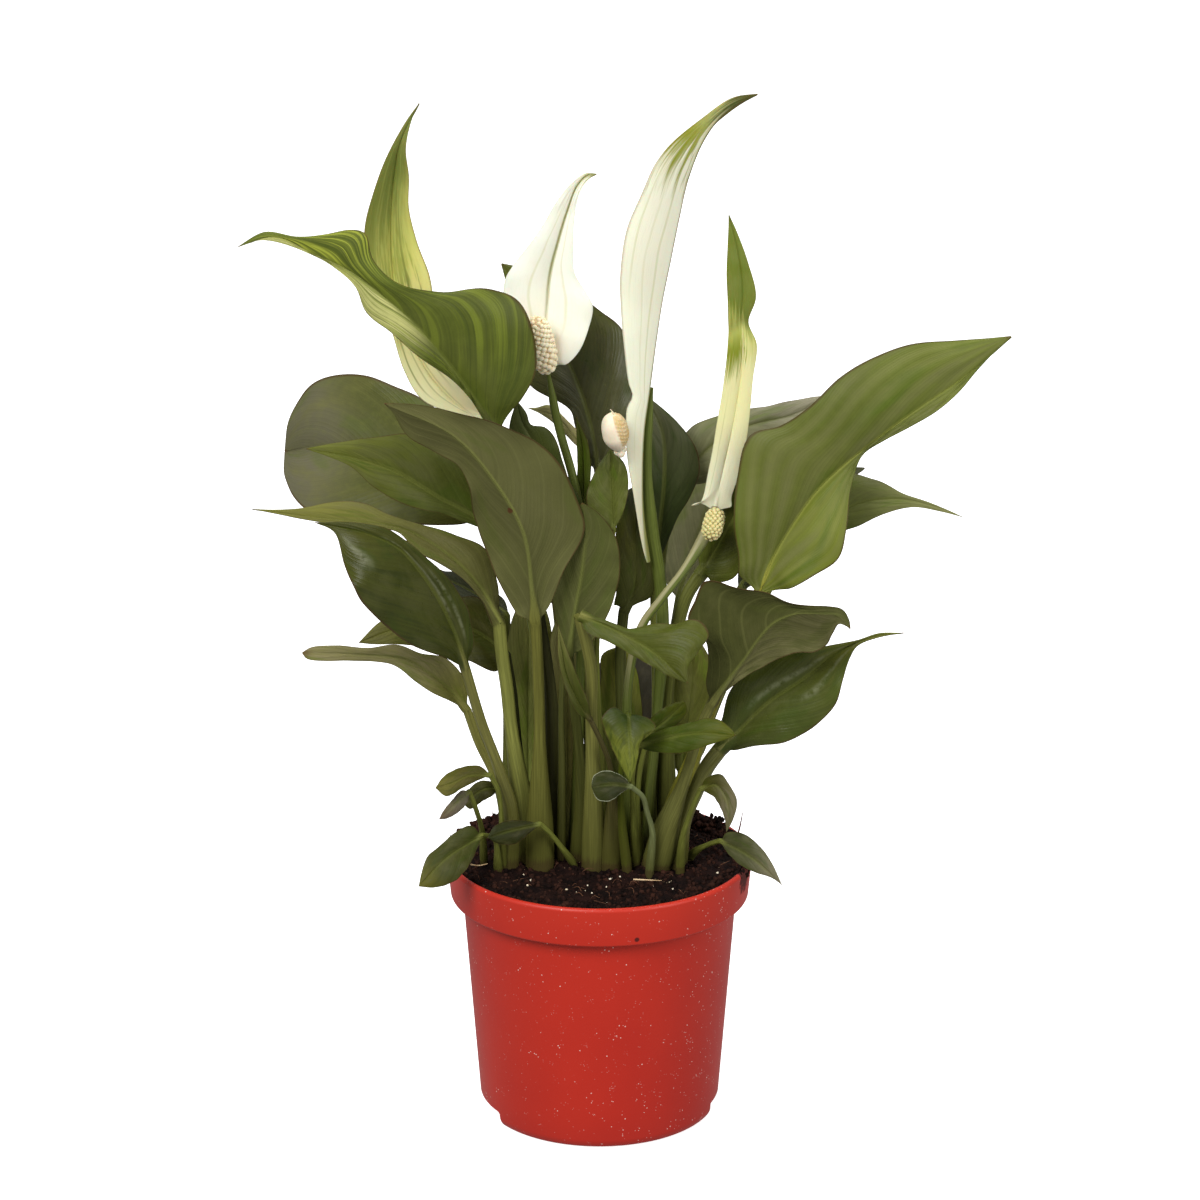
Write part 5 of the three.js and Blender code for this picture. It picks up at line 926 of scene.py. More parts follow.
def floret_finish(name, body, deep, tint):
    """Spadix florets: chalky cream knobs with darker joints between them."""
    f = Finish(name, subsurface_weight=0.2, subsurface_scale=0.001, specular_ior_level=0.25)
    at = f.place()
    grain, cloud = f.noise(at, 1800.0), f.noise(at, 160.0, 2.0)
    colour = f.blend(f.number("dome").band(0.1, 0.8), rgb(*deep), rgb(*body))
    colour = f.blend(cloud.band(0.4, 0.65) * 0.35, colour, rgb(*tint))
    colour = f.blend(grain.band(0.5, 0.8) * 0.25, colour, tinted(body, 1.1))
    return f.wear(base_color=colour, roughness=0.62 + 0.2 * (grain - 0.5), normal=f.bump(grain, 0.4, 0.1))


def pot_finish():
    """Red moulded plastic, satin, with scuffs, dust specks and soil on the rim."""
    dusty, dotted, muddy = (0.0085, -0.0345, 0.0085), (0.0107, -0.0428, 0.0694), (0.0425, -0.014, 0.0775)
    f = Finish("pot_red_plastic", specular_ior_level=0.32)
    at = f.place()
    px, py, pz = [Wire(f, o) for o in f.node("ShaderNodeSeparateXYZ", sockets={0: at}).socket.node.outputs]
    cloud, grain = f.noise(at, 22.0, 4.0), f.noise(at, 900.0)
    colour = f.blend(cloud.band(0.3, 0.75), rgb(186, 41, 24), rgb(176, 35, 21))
    colour = f.blend(pz.band(0.066, 0.0785) * 0.35, colour, rgb(194, 50, 30))
    # painted shade: the pot darker towards its foot
    colour = f.blend(pz.band(0.012, 0.0) * 0.25, colour, rgb(150, 30, 24))
    # pale dust specks, thick in one patch low on the front, thin elsewhere
    patch = f.far_from(at, dusty).band(0.016, 0.003)
    strip = px.band(0.016, 0.03) * py.band(-0.004, -0.018)
    many = 0.5 + 0.5 * f.noise(at, 60.0, 2.0)
    specks = f.cells(at, 820.0).band(0.2, 0.1) * f.noise(at, 230.0, 2.0).band(0.6, 0.63)
    crumbs = f.cells(at, 1300.0).band(0.26, 0.12) * f.noise(at, 420.0, 2.0).band(0.57, 0.62) * many
    dust = (specks * 0.95 + crumbs * (patch * 1.4 + strip * 0.9 + 0.35)).make("MINIMUM", 1.0)
    upright = f.node("ShaderNodeVectorMath", {"operation": "MULTIPLY"}, {0: at, 1: (1.0, 1.0, 0.22)})
    scuff = f.cells(upright, 900.0).band(0.13, 0.05) * f.noise(at, 130.0, 2.0).band(0.6, 0.66)
    pale = (dust + scuff * (patch + 0.2) * 0.8).make("MINIMUM", 1.0)
    colour = f.blend(pale * 0.85, colour, rgb(240, 208, 198))
    # a dark speck on the band, and soil caught on the lip to the right
    dot = f.far_from(at, dotted).band(0.0009, 0.0005)
    colour = f.blend(dot * 0.9, colour, rgb(62, 14, 10))
    mud = f.far_from(at, muddy).strays(0.007, f.noise(at, 320.0, 4.0)).band(0.0052, 0.0035)
    colour = f.blend(mud * 0.92, colour, rgb(58, 22, 16))
    # painted shade: the inner face of the lip darker than the outside
    inner = (px * px + py * py).band(0.0437**2, 0.0433**2) * pz.band(0.0765, 0.0775)
    colour = f.blend(inner * 0.6, colour, rgb(70, 22, 18))
    return f.wear(base_color=colour, roughness=0.36 + 0.12 * cloud + 0.25 * dust + 0.4 * mud,
                  normal=f.bump(0.25 * grain + 0.5 * dust + mud, 0.25, 0.1))


def peat_finish(name, dark=(15, 8, 7), brown=(34, 18, 14), speck=0.3):
    """Damp peat: near black, with brown crumbs and pale specks."""
    f = Finish(name, specular_ior_level=0.08)
    at = f.place()
    lumps, grain, fine = (f.noise(at, *scale) for scale in ((260.0, 4.0), (1100.0, 4.0), (4200.0, 2.0)))
    colour = f.blend(lumps.band(0.35, 0.7), rgb(*dark), rgb(*brown))
    colour = f.blend(grain.band(0.55, 0.75) * 0.4, colour, rgb(56, 36, 24))
    pale = f.cells(at, 900.0).band(0.2, 0.1) * f.noise(at, 330.0, 2.0).band(0.6, 0.68)
    colour = f.blend(pale * speck, colour, rgb(196, 170, 132))
    return f.wear(base_color=colour, roughness=0.82 + 0.25 * (fine - 0.5),
                  normal=f.bump(0.6 * grain + 0.4 * fine, 0.8, 0.35))


def fleck_finish(name, light, dark):
    """Perlite, straw and root threads in the soil."""
    f = Finish(name, specular_ior_level=0.2)
    at = f.place()
    cloud, grain = f.noise(at, 500.0), f.noise(at, 3000.0, 2.0)
    colour = f.blend(cloud.band(0.35, 0.7), rgb(*light), rgb(*dark))
    colour = f.blend(grain.band(0.6, 0.8) * 0.4, colour, tinted(dark, 0.6))
    return f.wear(base_color=colour, roughness=0.8 + 0.2 * (grain - 0.5), normal=f.bump(grain, 0.5, 0.1))


# ------------------------------------------------------------------ looks of the leaves

# Paint-chart colours of foot and tip, then what differs from the plain leaf of leaf_finish. A half, left or
# right, has a tint, its strength and the shares of the length between which it shows.
LOOKS = {
    "leaf_left_tall": dict(kind="dull", base=(88, 88, 47), tip=(108, 105, 63), veins=7, rib=0.6,
                           rib_colour=(118, 122, 62), stalk=(86, 85, 36), spot=(-0.07, 0.41)),
    # leaf_left_broad: its greyish tip colour is a painted reflection of soft light on the upper face
    "leaf_left_broad": dict(base=(86, 88, 34), tip=(94, 91, 70), veins=5, tip_at=(0.5, 0.8), sheen_and_tone=0.35,
                            left=((64, 68, 30), 0.7, 0.3, 0.66), right=((64, 68, 30), 0.7, 0.3, 0.66),
                            bold=((66, 72, 26), 0.08), vein=0.06, depth=0.2, fine=0.03),
    "leaf_left_inner": dict(base=(71, 77, 27), tip=(99, 103, 38), veins=8),
    "leaf_left_long": dict(base=(90, 89, 44), tip=(117, 116, 45), veins=8, stalk=(115, 117, 56)),
    "leaf_left_glossy": dict(kind="glossy", base=(57, 62, 14), tip=(69, 70, 17), veins=5, vein=0.05,
                             fine=0.03, bold=((38, 46, 10), 0.5), quilt=0.35,
                             glint=((0.18, 0.2, 0.75), (-0.55, 0.6, 0.9), (0.5, 0.1, 0.5)),
                             stalk=(94, 92, 44)),
    "leaf_mid_dull": dict(kind="dull", base=(82, 86, 41), tip=(82, 89, 36), veins=6, stalk=(54, 56, 21)),
    "leaf_left_cut": dict(base=(104, 103, 46), tip=(128, 121, 84), veins=7, scorch=0.93, tip_at=(0.1, 0.45),
                          stalk=(108, 106, 52)),
    "leaf_left_low": dict(base=(64, 65, 21), tip=(98, 96, 43), veins=6, stalk=(48, 49, 21)),
    "leaf_striped": dict(base=(78, 86, 30), tip=(84, 94, 32), left=((208, 206, 132), 0.9, 0.38, 1.0),
                         glow=(((122, 134, 42), 0.2, 0.8, 0.55), ((176, 184, 66), 0.62, 0.92, 0.85)),
                         bold=((60, 70, 25), 0.55), veins=10, vein=0.3, vein_colour=(58, 66, 24), sweep=0.5,
                         quilt=0.35, sheen_and_tone=0.2, rib=0.5, rib_colour=(104, 112, 48), stalk=(58, 58, 30)),
    "leaf_back_mid": dict(kind="glossy", base=(70, 71, 40), tip=(97, 104, 32), veins=7, quilt=0.35),
    "leaf_back_right": dict(base=(49, 58, 24), tip=(81, 80, 55), veins=6),
    # leaf_back_sliver: pale grey, a painted sheen of a leaf seen at a grazing angle
    "leaf_back_sliver": dict(base=(121, 122, 85), tip=(167, 160, 138), veins=5),
    "leaf_blade_young": dict(base=(71, 83, 24), tip=(59, 64, 15), veins=4, rib=0.2),
    "leaf_curled_mid": dict(base=(85, 91, 37), tip=(50, 57, 15), veins=5, rib=0.3),
    # leaf_right_large: its side veins are drawn as broad pale pinkish bands of painted sheen
    "leaf_right_large": dict(base=(86, 94, 36), tip=(112, 120, 52), tip_at=(0.5, 0.9), veins=4, sweep=1.0,
                             vein=0.14, vein_from=0.0, vein_colour=(140, 134, 96), fine=0.05,
                             bold=((76, 84, 30), 0.2), sheen_and_tone=0.55, quilt=0.4,
                             left=((98, 103, 46), 0.6, 0.0, 0.5), right=((120, 128, 42), 0.75, 0.0, 0.42),
                             rib_colour=(142, 146, 70), rib=0.5, stalk=(119, 116, 40)),
    "leaf_right_back": dict(base=(88, 95, 40), tip=(129, 128, 83), veins=7),
    "leaf_right_dark": dict(base=(79, 85, 27), tip=(96, 101, 32), veins=5, rib=0.3, stalk=(82, 85, 36)),
    "leaf_right_dull": dict(kind="dull", base=(74, 76, 33), tip=(113, 113, 65), veins=6,
                            left=((44, 50, 15), 0.9, -0.2, 1.2), right=((126, 120, 84), 0.9, -0.2, 1.2),
                            vein=0.3, stalk=(96, 96, 49)),
    "leaf_right_glossy": dict(kind="glossy", base=(65, 72, 24), tip=(113, 115, 44), veins=5, fine=0.04,
                              quilt=0.35, glint=((-0.3, 0.2, 0.8), (0.35, 0.4, 0.9)), stalk=(94, 94, 47)),
    "leaf_mid_bright": dict(base=(72, 78, 24), tip=(67, 71, 18), veins=5, rib=0.3, stalk=(98, 97, 46)),
    "leaf_mid_hanging": dict(base=(38, 50, 6), tip=(107, 112, 37), veins=4, rib=0.3, tip_at=(0.1, 0.7),
                             stalk=(55, 62, 6)),
    "leaf_mid_right": dict(base=(59, 70, 8), tip=(89, 91, 21), veins=5, rib=0.3, tip_at=(0.5, 1.0)),
    "leaf_mid_small": dict(base=(52, 61, 8), tip=(86, 92, 17), veins=3, rib=0.25),
    "leaf_mid_curled": dict(base=(43, 46, 19), tip=(50, 54, 14), edge=(188, 192, 164), stalk=(92, 98, 62),
                            veins=3, rib=0.2),
    "leaf_rolled": dict(base=(66, 70, 23), tip=(114, 114, 61), veins=4, rib=0.3, stalk=(60, 55, 27)),
    "leaf_low_left_1": dict(base=(71, 67, 23), tip=(107, 103, 44), veins=4, rib=0.25),
    "leaf_low_left_2": dict(kind="dull", base=(96, 90, 72), tip=(98, 80, 60), veins=3, rib=0.2, scorch=0.9),
    "leaf_rim_left": dict(base=(62, 65, 25), tip=(95, 91, 24), veins=4, rib=0.25, tip_at=(0.6, 1.0)),
    "leaf_low_mid": dict(base=(40, 41, 9), tip=(34, 40, 6), veins=3, rib=0.2),
    "leaf_low_right": dict(base=(70, 70, 19), tip=(103, 96, 72), veins=4, rib=0.25, tip_at=(0.1, 0.6)),
    "leaf_rim_right": dict(base=(69, 71, 40), tip=(122, 114, 90), veins=4, rib=0.25),
    "leaf_inner_left": dict(kind="dull", base=(142, 149, 72), tip=(177, 175, 102), veins=3, rib=0.2,
                            stalk=(92, 92, 46)),
    "leaf_inner_mid": dict(kind="dull", base=(111, 106, 53), tip=(155, 152, 96), veins=3, rib=0.2,
                           stalk=(90, 88, 44)),
    "leaf_inner_right": dict(kind="dull", base=(109, 113, 54), tip=(146, 148, 62), veins=3, rib=0.2,
                             stalk=(88, 88, 40)),
    "leaf_inner_far": dict(base=(103, 106, 45), tip=(76, 76, 29), veins=4, rib=0.25, stalk=(88, 92, 40)),
    "leaf_mid_back": dict(base=(53, 60, 17), tip=(78, 84, 44), veins=5, rib=0.3, stalk=(86, 88, 42)),
    "leaf_back_strip": dict(base=(171, 161, 111), tip=(190, 187, 124), veins=4, rib=0.2,
                            stalk=(92, 92, 48)),
    "leaf_back_low": dict(base=(79, 82, 37), tip=(62, 66, 52), left=((96, 96, 38), 0.8, 0.45, 0.8), veins=4,
                          rib=0.2, stalk=(68, 71, 31)),
    "leaf_low_left_3": dict(base=(67, 67, 26), tip=(70, 69, 29), veins=3, rib=0.2),
    "leaf_rear_4": dict(kind="dull", base=(46, 42, 24), tip=(50, 46, 26), veins=6, rib=0.3),
    "leaf_rear_5": dict(base=(124, 123, 85), tip=(126, 125, 88), veins=7, rib=0.35),
}
REAR_LOOK = dict(kind="satin", base=(54, 58, 28), tip=(66, 68, 34), veins=7, rib=0.35)
SPATHE_LOOKS = {
    "spathe_tall_left": dict(foot=(244, 238, 190), mid=(222, 218, 132), mid_at=(0.12, 0.5),
                             yellow=(182, 186, 88), green=(102, 112, 44), green_at=(0.47, 0.8), tilt=0.08,
                             streaks=(0.36, 0.98, 0.9), side=0.08, streak=(92, 106, 44),
                             rib_at=(0.12, 0.2, 0.6), rib=(118, 122, 56),
                             lines=((-0.64, 0.2, 0.95, 0.7), (-0.3, 0.0, 0.6, 0.4), (0.12, 0.05, 0.7, 0.35),
                                    (0.42, 0.2, 0.9, 0.7)),
                             line=(128, 136, 62), line_wide=0.06, threads=0.1, edge=0.75),
    "spathe_white": dict(foot=(244, 241, 226), mid=(242, 241, 226), mid_at=(0.2, 0.6), green=(126, 136, 54),
                         green_at=(0.94, 1.02), yellow_share=0.35, streaks=(0.78, 0.97, 0.25), threads=0.05,
                         lines=((-0.4, 0.2, 0.8, 0.4), (0.42, 0.25, 0.85, 0.4)), line=(206, 206, 160),
                         rib_at=(0.35, 0.75, 1.0), rib=(140, 144, 66), edge=0.12),
    "spathe_tallest": dict(foot=(208, 204, 172), mid=(248, 245, 220), mid_at=(0.05, 0.42),
                           green=(80, 88, 24), green_at=(0.86, 0.92), yellow=(190, 194, 82),
                           yellow_share=0.6, tilt=-0.05, streaks=(0.79, 0.95, 1.0), side=0.3,
                           streak=(138, 146, 34), threads=0.05, line=(186, 190, 122), line_wide=0.03,
                           lines=((-0.28, 0.3, 0.98, 0.35), (-0.52, 0.2, 0.98, 0.2),
                                  (-0.76, 0.55, 0.98, 0.3)),
                           rib_r=0.55, rib_at=(-0.3, 0.9, 0.9), rib=(106, 98, 44),
                           rib_foot=((124, 132, 62), 0.36, 0.6), edge=0.45),
    "spathe_green": dict(foot=(232, 228, 196), mid=(226, 222, 164), mid_at=(0.1, 0.4), green=(96, 112, 14),
                         green_at=(0.6, 0.7), yellow=(172, 180, 70), tilt=-0.06, streaks=(0.5, 0.66, 1.0),
                         side=0.55, streak=(122, 134, 28), rib_at=(0.05, 0.0, 0.15), rib=(146, 150, 80),
                         lines=((-0.6, 0.05, 0.4, 0.3),), line=(160, 164, 92), threads=0.1, rib_r=0.45,
                         fold=(0.64, 0.0, 0.03), crease=(0.64, 0.0, -0.7, 0.03), edge=0.4),
}
# body, joint and shaded tints, floret spacing at foot and tip in millimetres, share of the radius they sit at
FLORETS = {
    "spadix_tall_left": ((232, 222, 188), (170, 150, 104), (206, 190, 140), 1.5, 1.3, 0.88),
    "spadix_white": ((250, 236, 204), (204, 170, 120), (236, 208, 162), 2.0, 1.3, 0.88),
    "spadix_tallest": ((236, 222, 196), (200, 170, 108), (228, 212, 180), 2.6, 2.2, 0.8),
    "spadix_green": ((208, 198, 142), (168, 154, 90), (190, 178, 112), 1.35, 1.2, 0.9),
}

# ------------------------------------------------------------------ leaves, stems and spathes


def make_leaf(d, look, seed):
    """A blade and its petiole in one skin; small leaves have fewer rings."""
    at = outline_blade(d) if "rib" in d else arched_blade(d)
    half, joints, rows, slim = (10, 20, 44, 0.75) if d.get("small") else (13, 34, 96, 1.3)
    wide, thin = 2 * half + 1, d.get("thin", slim)
    first, right, left = (at(np.array([k]), np.array([s]))[0] for k, s in ((0, 0), (0.12, 1), (0.12, -1)))
    stem, m1, u1 = stem_rings(d, first, unit(right - left), joints, 2 * wide, thin)
    blade, m2, u2 = blade_rings(at, look, wide, rows, 0.5, thin, seed, bool(d.get("under")))
    piece = loft(d["name"] + "_blade", np.concatenate([stem, blade]),
                 {"place": np.concatenate([m1, m2]), "below": np.concatenate([u1, u2])})
    settle(piece, "leaf", leaf_finish(d["name"].replace("leaf", "finish"), look), d["name"])


def make_spathe(d, look, seed):
    """A spathe's sheet, with its midrib and faint ruffles."""
    sheet = dict(veins=5, quilt=0.06, ruffle=0.2, sweep=0.7)
    if "crease" in look:
        sheet["crease"] = look["crease"]
    rings, mark, under = blade_rings(outline_blade(d), sheet, 27, 110, 0.55, look.get("rib_r", 1.25), seed)
    piece = loft(d["name"] + "_sheet", rings, {"place": mark, "below": under})
    settle(piece, "spathe", spathe_finish(d["name"].replace("spathe", "wax"), look), d["name"])


def make_stem(d, finish):
    """A flower stem up to the foot of its spathe."""
    rings, mark, under = stem_rings(d, None, np.array([1.0, 0, 0]), 90, 24, 1.25)
    piece = loft(d["name"] + "_stalk", rings, {"place": mark, "below": under})
    settle(piece, "stem", finish, d["name"])


def axis_of(d):
    """Foot, direction and length of a spadix."""
    a, b = (seen(*map(float, d[k])) for k in ("from", "to"))
    return a, unit(b - a), float(np.linalg.norm(b - a))


def make_spadix(d, look, seed):
    """A blunt club packed with domed florets along a spiral."""
    rnd = random.Random(seed)
    a, along, length = axis_of(d)
    side = unit(np.cross([1, 0.1, 0.05], along))
    front = np.cross(side, along)

    def club(t):
        return d["r"] * np.maximum(0.02, 1 - np.abs(2 * t - 1) ** 3.2) ** 0.5

    t = np.linspace(0.002, 0.998, 26)
    ang = full_turn(32)
    rings = (a + along * (t * length)[:, None, None]
             + (club(t) * 0.9)[:, None, None] * (side * np.cos(ang)[:, None] + front * np.sin(ang)[:, None]))
    core = loft(d["name"] + "_florets", rings, {"dome": np.zeros(rings.shape[:2])})
    bpy.ops.mesh.primitive_uv_sphere_add(segments=9, ring_count=6, radius=1)
    buds = bpy.context.object
    local, faces = shape_of(buds)
    body, deep, tint, low, high, sink = look
    share = np.linspace(0, 1, 400)
    gap = low + (high - low) * share                     # floret spacing from foot to tip
    crowd = (club(share) + 0.25) / gap**2
    spread = np.concatenate([[0], np.cumsum(crowd)[:-1]]) / np.sum(crowd[:-1])
    count = int(1.12 * TAU * length * crowd.mean())
    points, skins, domes = [], [], []
    for i in range(count):
        place = (i + 0.5) / count
        at = float(np.interp(place, spread, share))
        turn = i * SPIRAL + rnd.uniform(-0.07, 0.07)
        out = side * math.cos(turn) + front * math.sin(turn)
        lean = (float(club(min(1, at + 0.02))) - float(club(max(0, at - 0.02)))) / (0.04 * length)
        up = unit(out - along * lean)
        spot = a + along * at * length + out * float(club(at)) * sink
        flat = unit(np.cross(up, along + 0.01))
        fore = np.cross(flat, up)
        size = 0.52 * float(np.interp(at, share, gap)) * rnd.uniform(0.92, 1.1)
        shape = local * [size, size * rnd.uniform(0.85, 1.0), size * rnd.uniform(0.7, 0.95)]
        skins += [[len(points) + k for k in f] for f in faces]
        points += list(spot + shape[:, :1] * flat + shape[:, 1:2] * fore + shape[:, 2:] * up)
        domes += list(np.clip(0.5 + local[:, 2] * 0.6, 0, 1))
    refill(buds, points, skins)
    raised = buds.data.attributes.new("dome", "FLOAT", "POINT")
    raised.data.foreach_set("value", np.array(domes, np.float32))
    join(core, buds)
    bpy.ops.object.shade_smooth()
    finish = floret_finish(d["name"].replace("spadix", "florets"), body, deep, tint)
    settle(core, "spadix", finish, d["name"])


def make_bud(d, look, seed):
    """A young spadix still in its smooth hood, open on one side, with a few loose florets below."""
    rnd = random.Random(seed)
    a, along, length = axis_of(d)
    b = a + along * length
    side = unit(np.cross([0, 1.0, 0], along))
    front = np.cross(side, along)
    t, ang = np.linspace(0.004, 0.996, 60)[:, None], full_turn(72)[None, :]
    swell = (1 - np.abs(2 * t - 1.06) ** 2.6).clip(0.001) ** 0.5 * (0.5 + 0.5 * ease(t, -0.1, 0.5))
    swell = swell / swell.max() * d["r"]
    bare = ease(np.cos(ang) + 0.5 * (t - 0.5), 0.05, 0.4) * ease(t, 0.16, 0.3)
    knobs = np.abs(np.sin(ang * 13) * np.sin(t * 34 + 2 * np.sin(ang * 3)))
    round_in = 0.5 * bare * (1 - 0.6 * knobs) - 0.07 * np.sin(ang * 5 + 3 * t) * (1 - bare)
    wide = (swell - round_in * np.minimum(1, swell)).clip(0.02)
    rings = ((a + along * (t * length))[:, None, :]
             + wide[:, :, None] * (side * np.cos(ang)[..., None] + front * np.sin(ang)[..., None]))
    hood = loft(d["name"] + "_hood", rings, {"dome": 1 - bare * (0.95 - 0.35 * knobs)})
    bpy.ops.mesh.primitive_uv_sphere_add(segments=16, ring_count=10, radius=1)
    drop = bpy.context.object
    local, faces = shape_of(drop)
    points, skins = [], []
    for share, shift, size in ((0.02, 0.15, 1.05), (0.0, 0.55, 1.2), (0.05, 0.9, 0.9), (-0.03, 0.4, 0.75)):
        spot = a + along * share * length + side * (shift - 0.4) * 2.4 - front * rnd.uniform(-0.4, 0.4)
        skins += [[len(points) + k for k in f] for f in faces]
        points += list(spot + local * [size, size, size * 1.15])
    refill(drop, points, skins)
    raised = drop.data.attributes.new("dome", "FLOAT", "POINT")
    raised.data.foreach_set("value", np.full(len(points), 0.75, np.float32))
    line = Line([b - along * 0.4 + side * 0.6, b + along * 0.9 + side * 0.2, b + along * 1.9 - side * 0.3])
    q, ang = np.linspace(0, 1, 8), full_turn(8)[:, None]
    round_it = (0.32 - 0.2 * q)[:, None, None] * (side * np.cos(ang) + front * np.sin(ang))
    thread = line.at(q)[:, None] + round_it
    wisp = loft(d["name"] + "_wisp", thread, {"dome": np.full(thread.shape[:2], 0.6)})
    join(hood, drop, wisp)
    bpy.ops.object.shade_smooth()
    settle(hood, "spadix", floret_finish("florets_in_hood", *look[:3]), d["name"])


for number, leaf in enumerate(LEAVES + REAR):
    make_leaf(leaf, LOOKS.get(leaf["name"], REAR_LOOK), number)
for number, leaf in enumerate(SPATHES):
    make_spathe(leaf, SPATHE_LOOKS[leaf["name"]], 40 + number)
stem_skin = stem_finish("stem_green_skin")
pale_stem = stem_finish("stem_pale_top_skin", ((150, 144, 104), -0.5, 0.85))
for stalk in STALKS:
    make_stem(stalk, pale_stem if stalk["name"] == "stem_green" else stem_skin)
for number, spike in enumerate(SPADICES):
    make = make_bud if spike["name"] == "spadix_tallest" else make_spadix
    make(spike, FLORETS[spike["name"]], 60 + number)

# ------------------------------------------------------------------ pot


def rounded(points, radius, steps=4):
    """The outline with its corners rounded where they have a radius."""
    out = []
    for i, p in enumerate(points):
        r = radius.get(i, 0)
        if not r:
            out.append(p)
            continue
        p, a, b = (np.array(q, float) for q in (p, points[i - 1], points[i + 1]))
        r = min(r, 0.45 * np.linalg.norm(a - p), 0.45 * np.linalg.norm(b - p))
        start, end = p + unit(a - p) * r, p + unit(b - p) * r
        for k in range(steps + 1):
            t = k / steps
            out.append(tuple((1 - t) ** 2 * start + 2 * t * (1 - t) * p + t * t * end))
    return out


def make_pot():
    """The pot, spun from its outline, with notches cut at the base corner."""
    band = POT_HIGH - RIM_BAND
    outline = [(0, 0), (BASE_R - 2.6, 0), (BASE_R - 0.9, 0.5), (BASE_R, 2.2), (BODY_TOP_R, band - 0.8),
               (BODY_TOP_R + 0.7, band), (RIM_LOW_R - 0.3, band), (RIM_LOW_R, band + 0.4),
               (RIM_R, POT_HIGH - 0.9), (RIM_R - 0.35, POT_HIGH - 0.25), (RIM_R - 0.9, POT_HIGH),
               (RIM_R - WALL, POT_HIGH - 0.2), (BODY_TOP_R - WALL + 1.6, band + 0.5),
               (BODY_TOP_R - WALL, band - 3), (BASE_R - WALL, 6), (BASE_R - WALL - 1.5, FLOOR), (0, FLOOR)]
    outline = rounded(outline, {1: 0.6, 2: 0.6, 3: 1.0, 4: 0.6, 5: 0.3, 6: 0.3, 7: 0.4, 8: 0.4, 9: 0.3,
                                10: 0.3, 11: 0.5, 12: 1.5, 13: 2, 15: 1})
    bpy.ops.mesh.primitive_circle_add(vertices=len(outline), fill_type="NOTHING")
    pot = bpy.context.object
    pot.name = pot.data.name = "pot_shell"
    for v, (r, z) in zip(pot.data.vertices, outline):
        v.co = (r * MM, 0, z * MM)
    bpy.ops.object.mode_set(mode="EDIT")
    bpy.ops.mesh.select_mode(type="EDGE")
    bpy.ops.mesh.select_all(action="DESELECT")
    bpy.ops.object.mode_set(mode="OBJECT")
    for e in pot.data.edges:
        e.select = all(abs(pot.data.vertices[k].co.x) < 1e-7 for k in e.vertices)
    bpy.ops.object.mode_set(mode="EDIT")
    bpy.ops.mesh.delete(type="EDGE")
    bpy.ops.mesh.select_all(action="SELECT")
    bpy.ops.mesh.spin(steps=180, angle=TAU, center=(0, 0, 0), axis=(0, 0, 1))
    bpy.ops.object.mode_set(mode="OBJECT")
    close_skin(POT_CREASE)
    reach = math.sqrt(BASE_R**2 - NOTCH_WIDE**2 / 4) - 2
    for turn in NOTCHES:
        bpy.ops.mesh.primitive_cube_add(size=1)
        cutter = bpy.context.object
        a = math.radians(turn)
        for v in cutter.data.vertices:
            x, y, z = reach + 7 + v.co.x * 14, v.co.y * NOTCH_WIDE, v.co.z * 2 * NOTCH_HIGH
            turned = x * math.cos(a) - y * math.sin(a), x * math.sin(a) + y * math.cos(a)
            v.co = (turned[0] * MM, turned[1] * MM, z * MM)
        bpy.ops.object.select_all(action="DESELECT")
        pot.select_set(True)
        bpy.context.view_layer.objects.active = pot
        cut = pot.modifiers.new("notch", "BOOLEAN")
        cut.operation, cut.object, cut.solver = "DIFFERENCE", cutter, "EXACT"
        bpy.ops.object.modifier_apply(modifier=cut.name)
        bpy.data.objects.remove(cutter)
    bpy.ops.object.shade_smooth_by_angle(angle=math.radians(POT_CREASE), keep_sharp_edges=False)
    settle(pot, "pot", pot_finish(), "pot")


make_pot()

# ------------------------------------------------------------------ soil


def lump(x, y):
    """Broad swells of the soil."""
    return 0.5 * np.sin(x * 0.31 + 1) * np.cos(y * 0.27) + 0.35 * np.sin(x * 0.53 + y * 0.47)


def soil_height(x, y):
    """Height of the soil, level with the fill line at the wall and swelling inwards."""
    k = np.clip((SOIL_R - np.hypot(x, y)) / 8, 0, 1)
    return SOIL_HIGH + (0.9 + lump(x, y)) * k + 0.004 * y * k


def crumble(x, y):
    """Small lumps on top of the swells."""
    p = Vector((x, y, 3.1))
    return 0.75 * abs(noise.noise(p * 0.55)) + 0.5 * noise.noise(p * 1.1) + 0.28 * noise.noise(p * 2.3)


def make_soil():
    """The block of soil in the pot, lumpy on top."""
    sides = [(0.01, FLOOR + 0.3), (BASE_R - WALL - 2, FLOOR + 0.3), (BASE_R - WALL - 0.35, 6.3),
             (BODY_TOP_R - WALL - 0.35, POT_HIGH - RIM_BAND - 3.2), (SOIL_R - 1.4, POT_HIGH - 5),
             (SOIL_R - 0.4, SOIL_HIGH - 1.2)]
    ang = full_turn(260)
    rings = [[(*polar(r, a), z) for a in ang] for r, z in sides]
    for r in np.linspace(SOIL_R - 0.45, 0.3, 96):
        x, y = r * np.cos(ang), r * np.sin(ang)
        edge = min(1.0, (SOIL_R - r) / 2.5)
        z = soil_height(x, y) + [0.9 * edge * crumble(p, q) for p, q in zip(x, y)]
        rings.append(list(zip(x, y, z)))
    piece = loft("soil_bed", np.array(rings), crease=70)
    settle(piece, "soil", peat_finish("peat"), "soil")


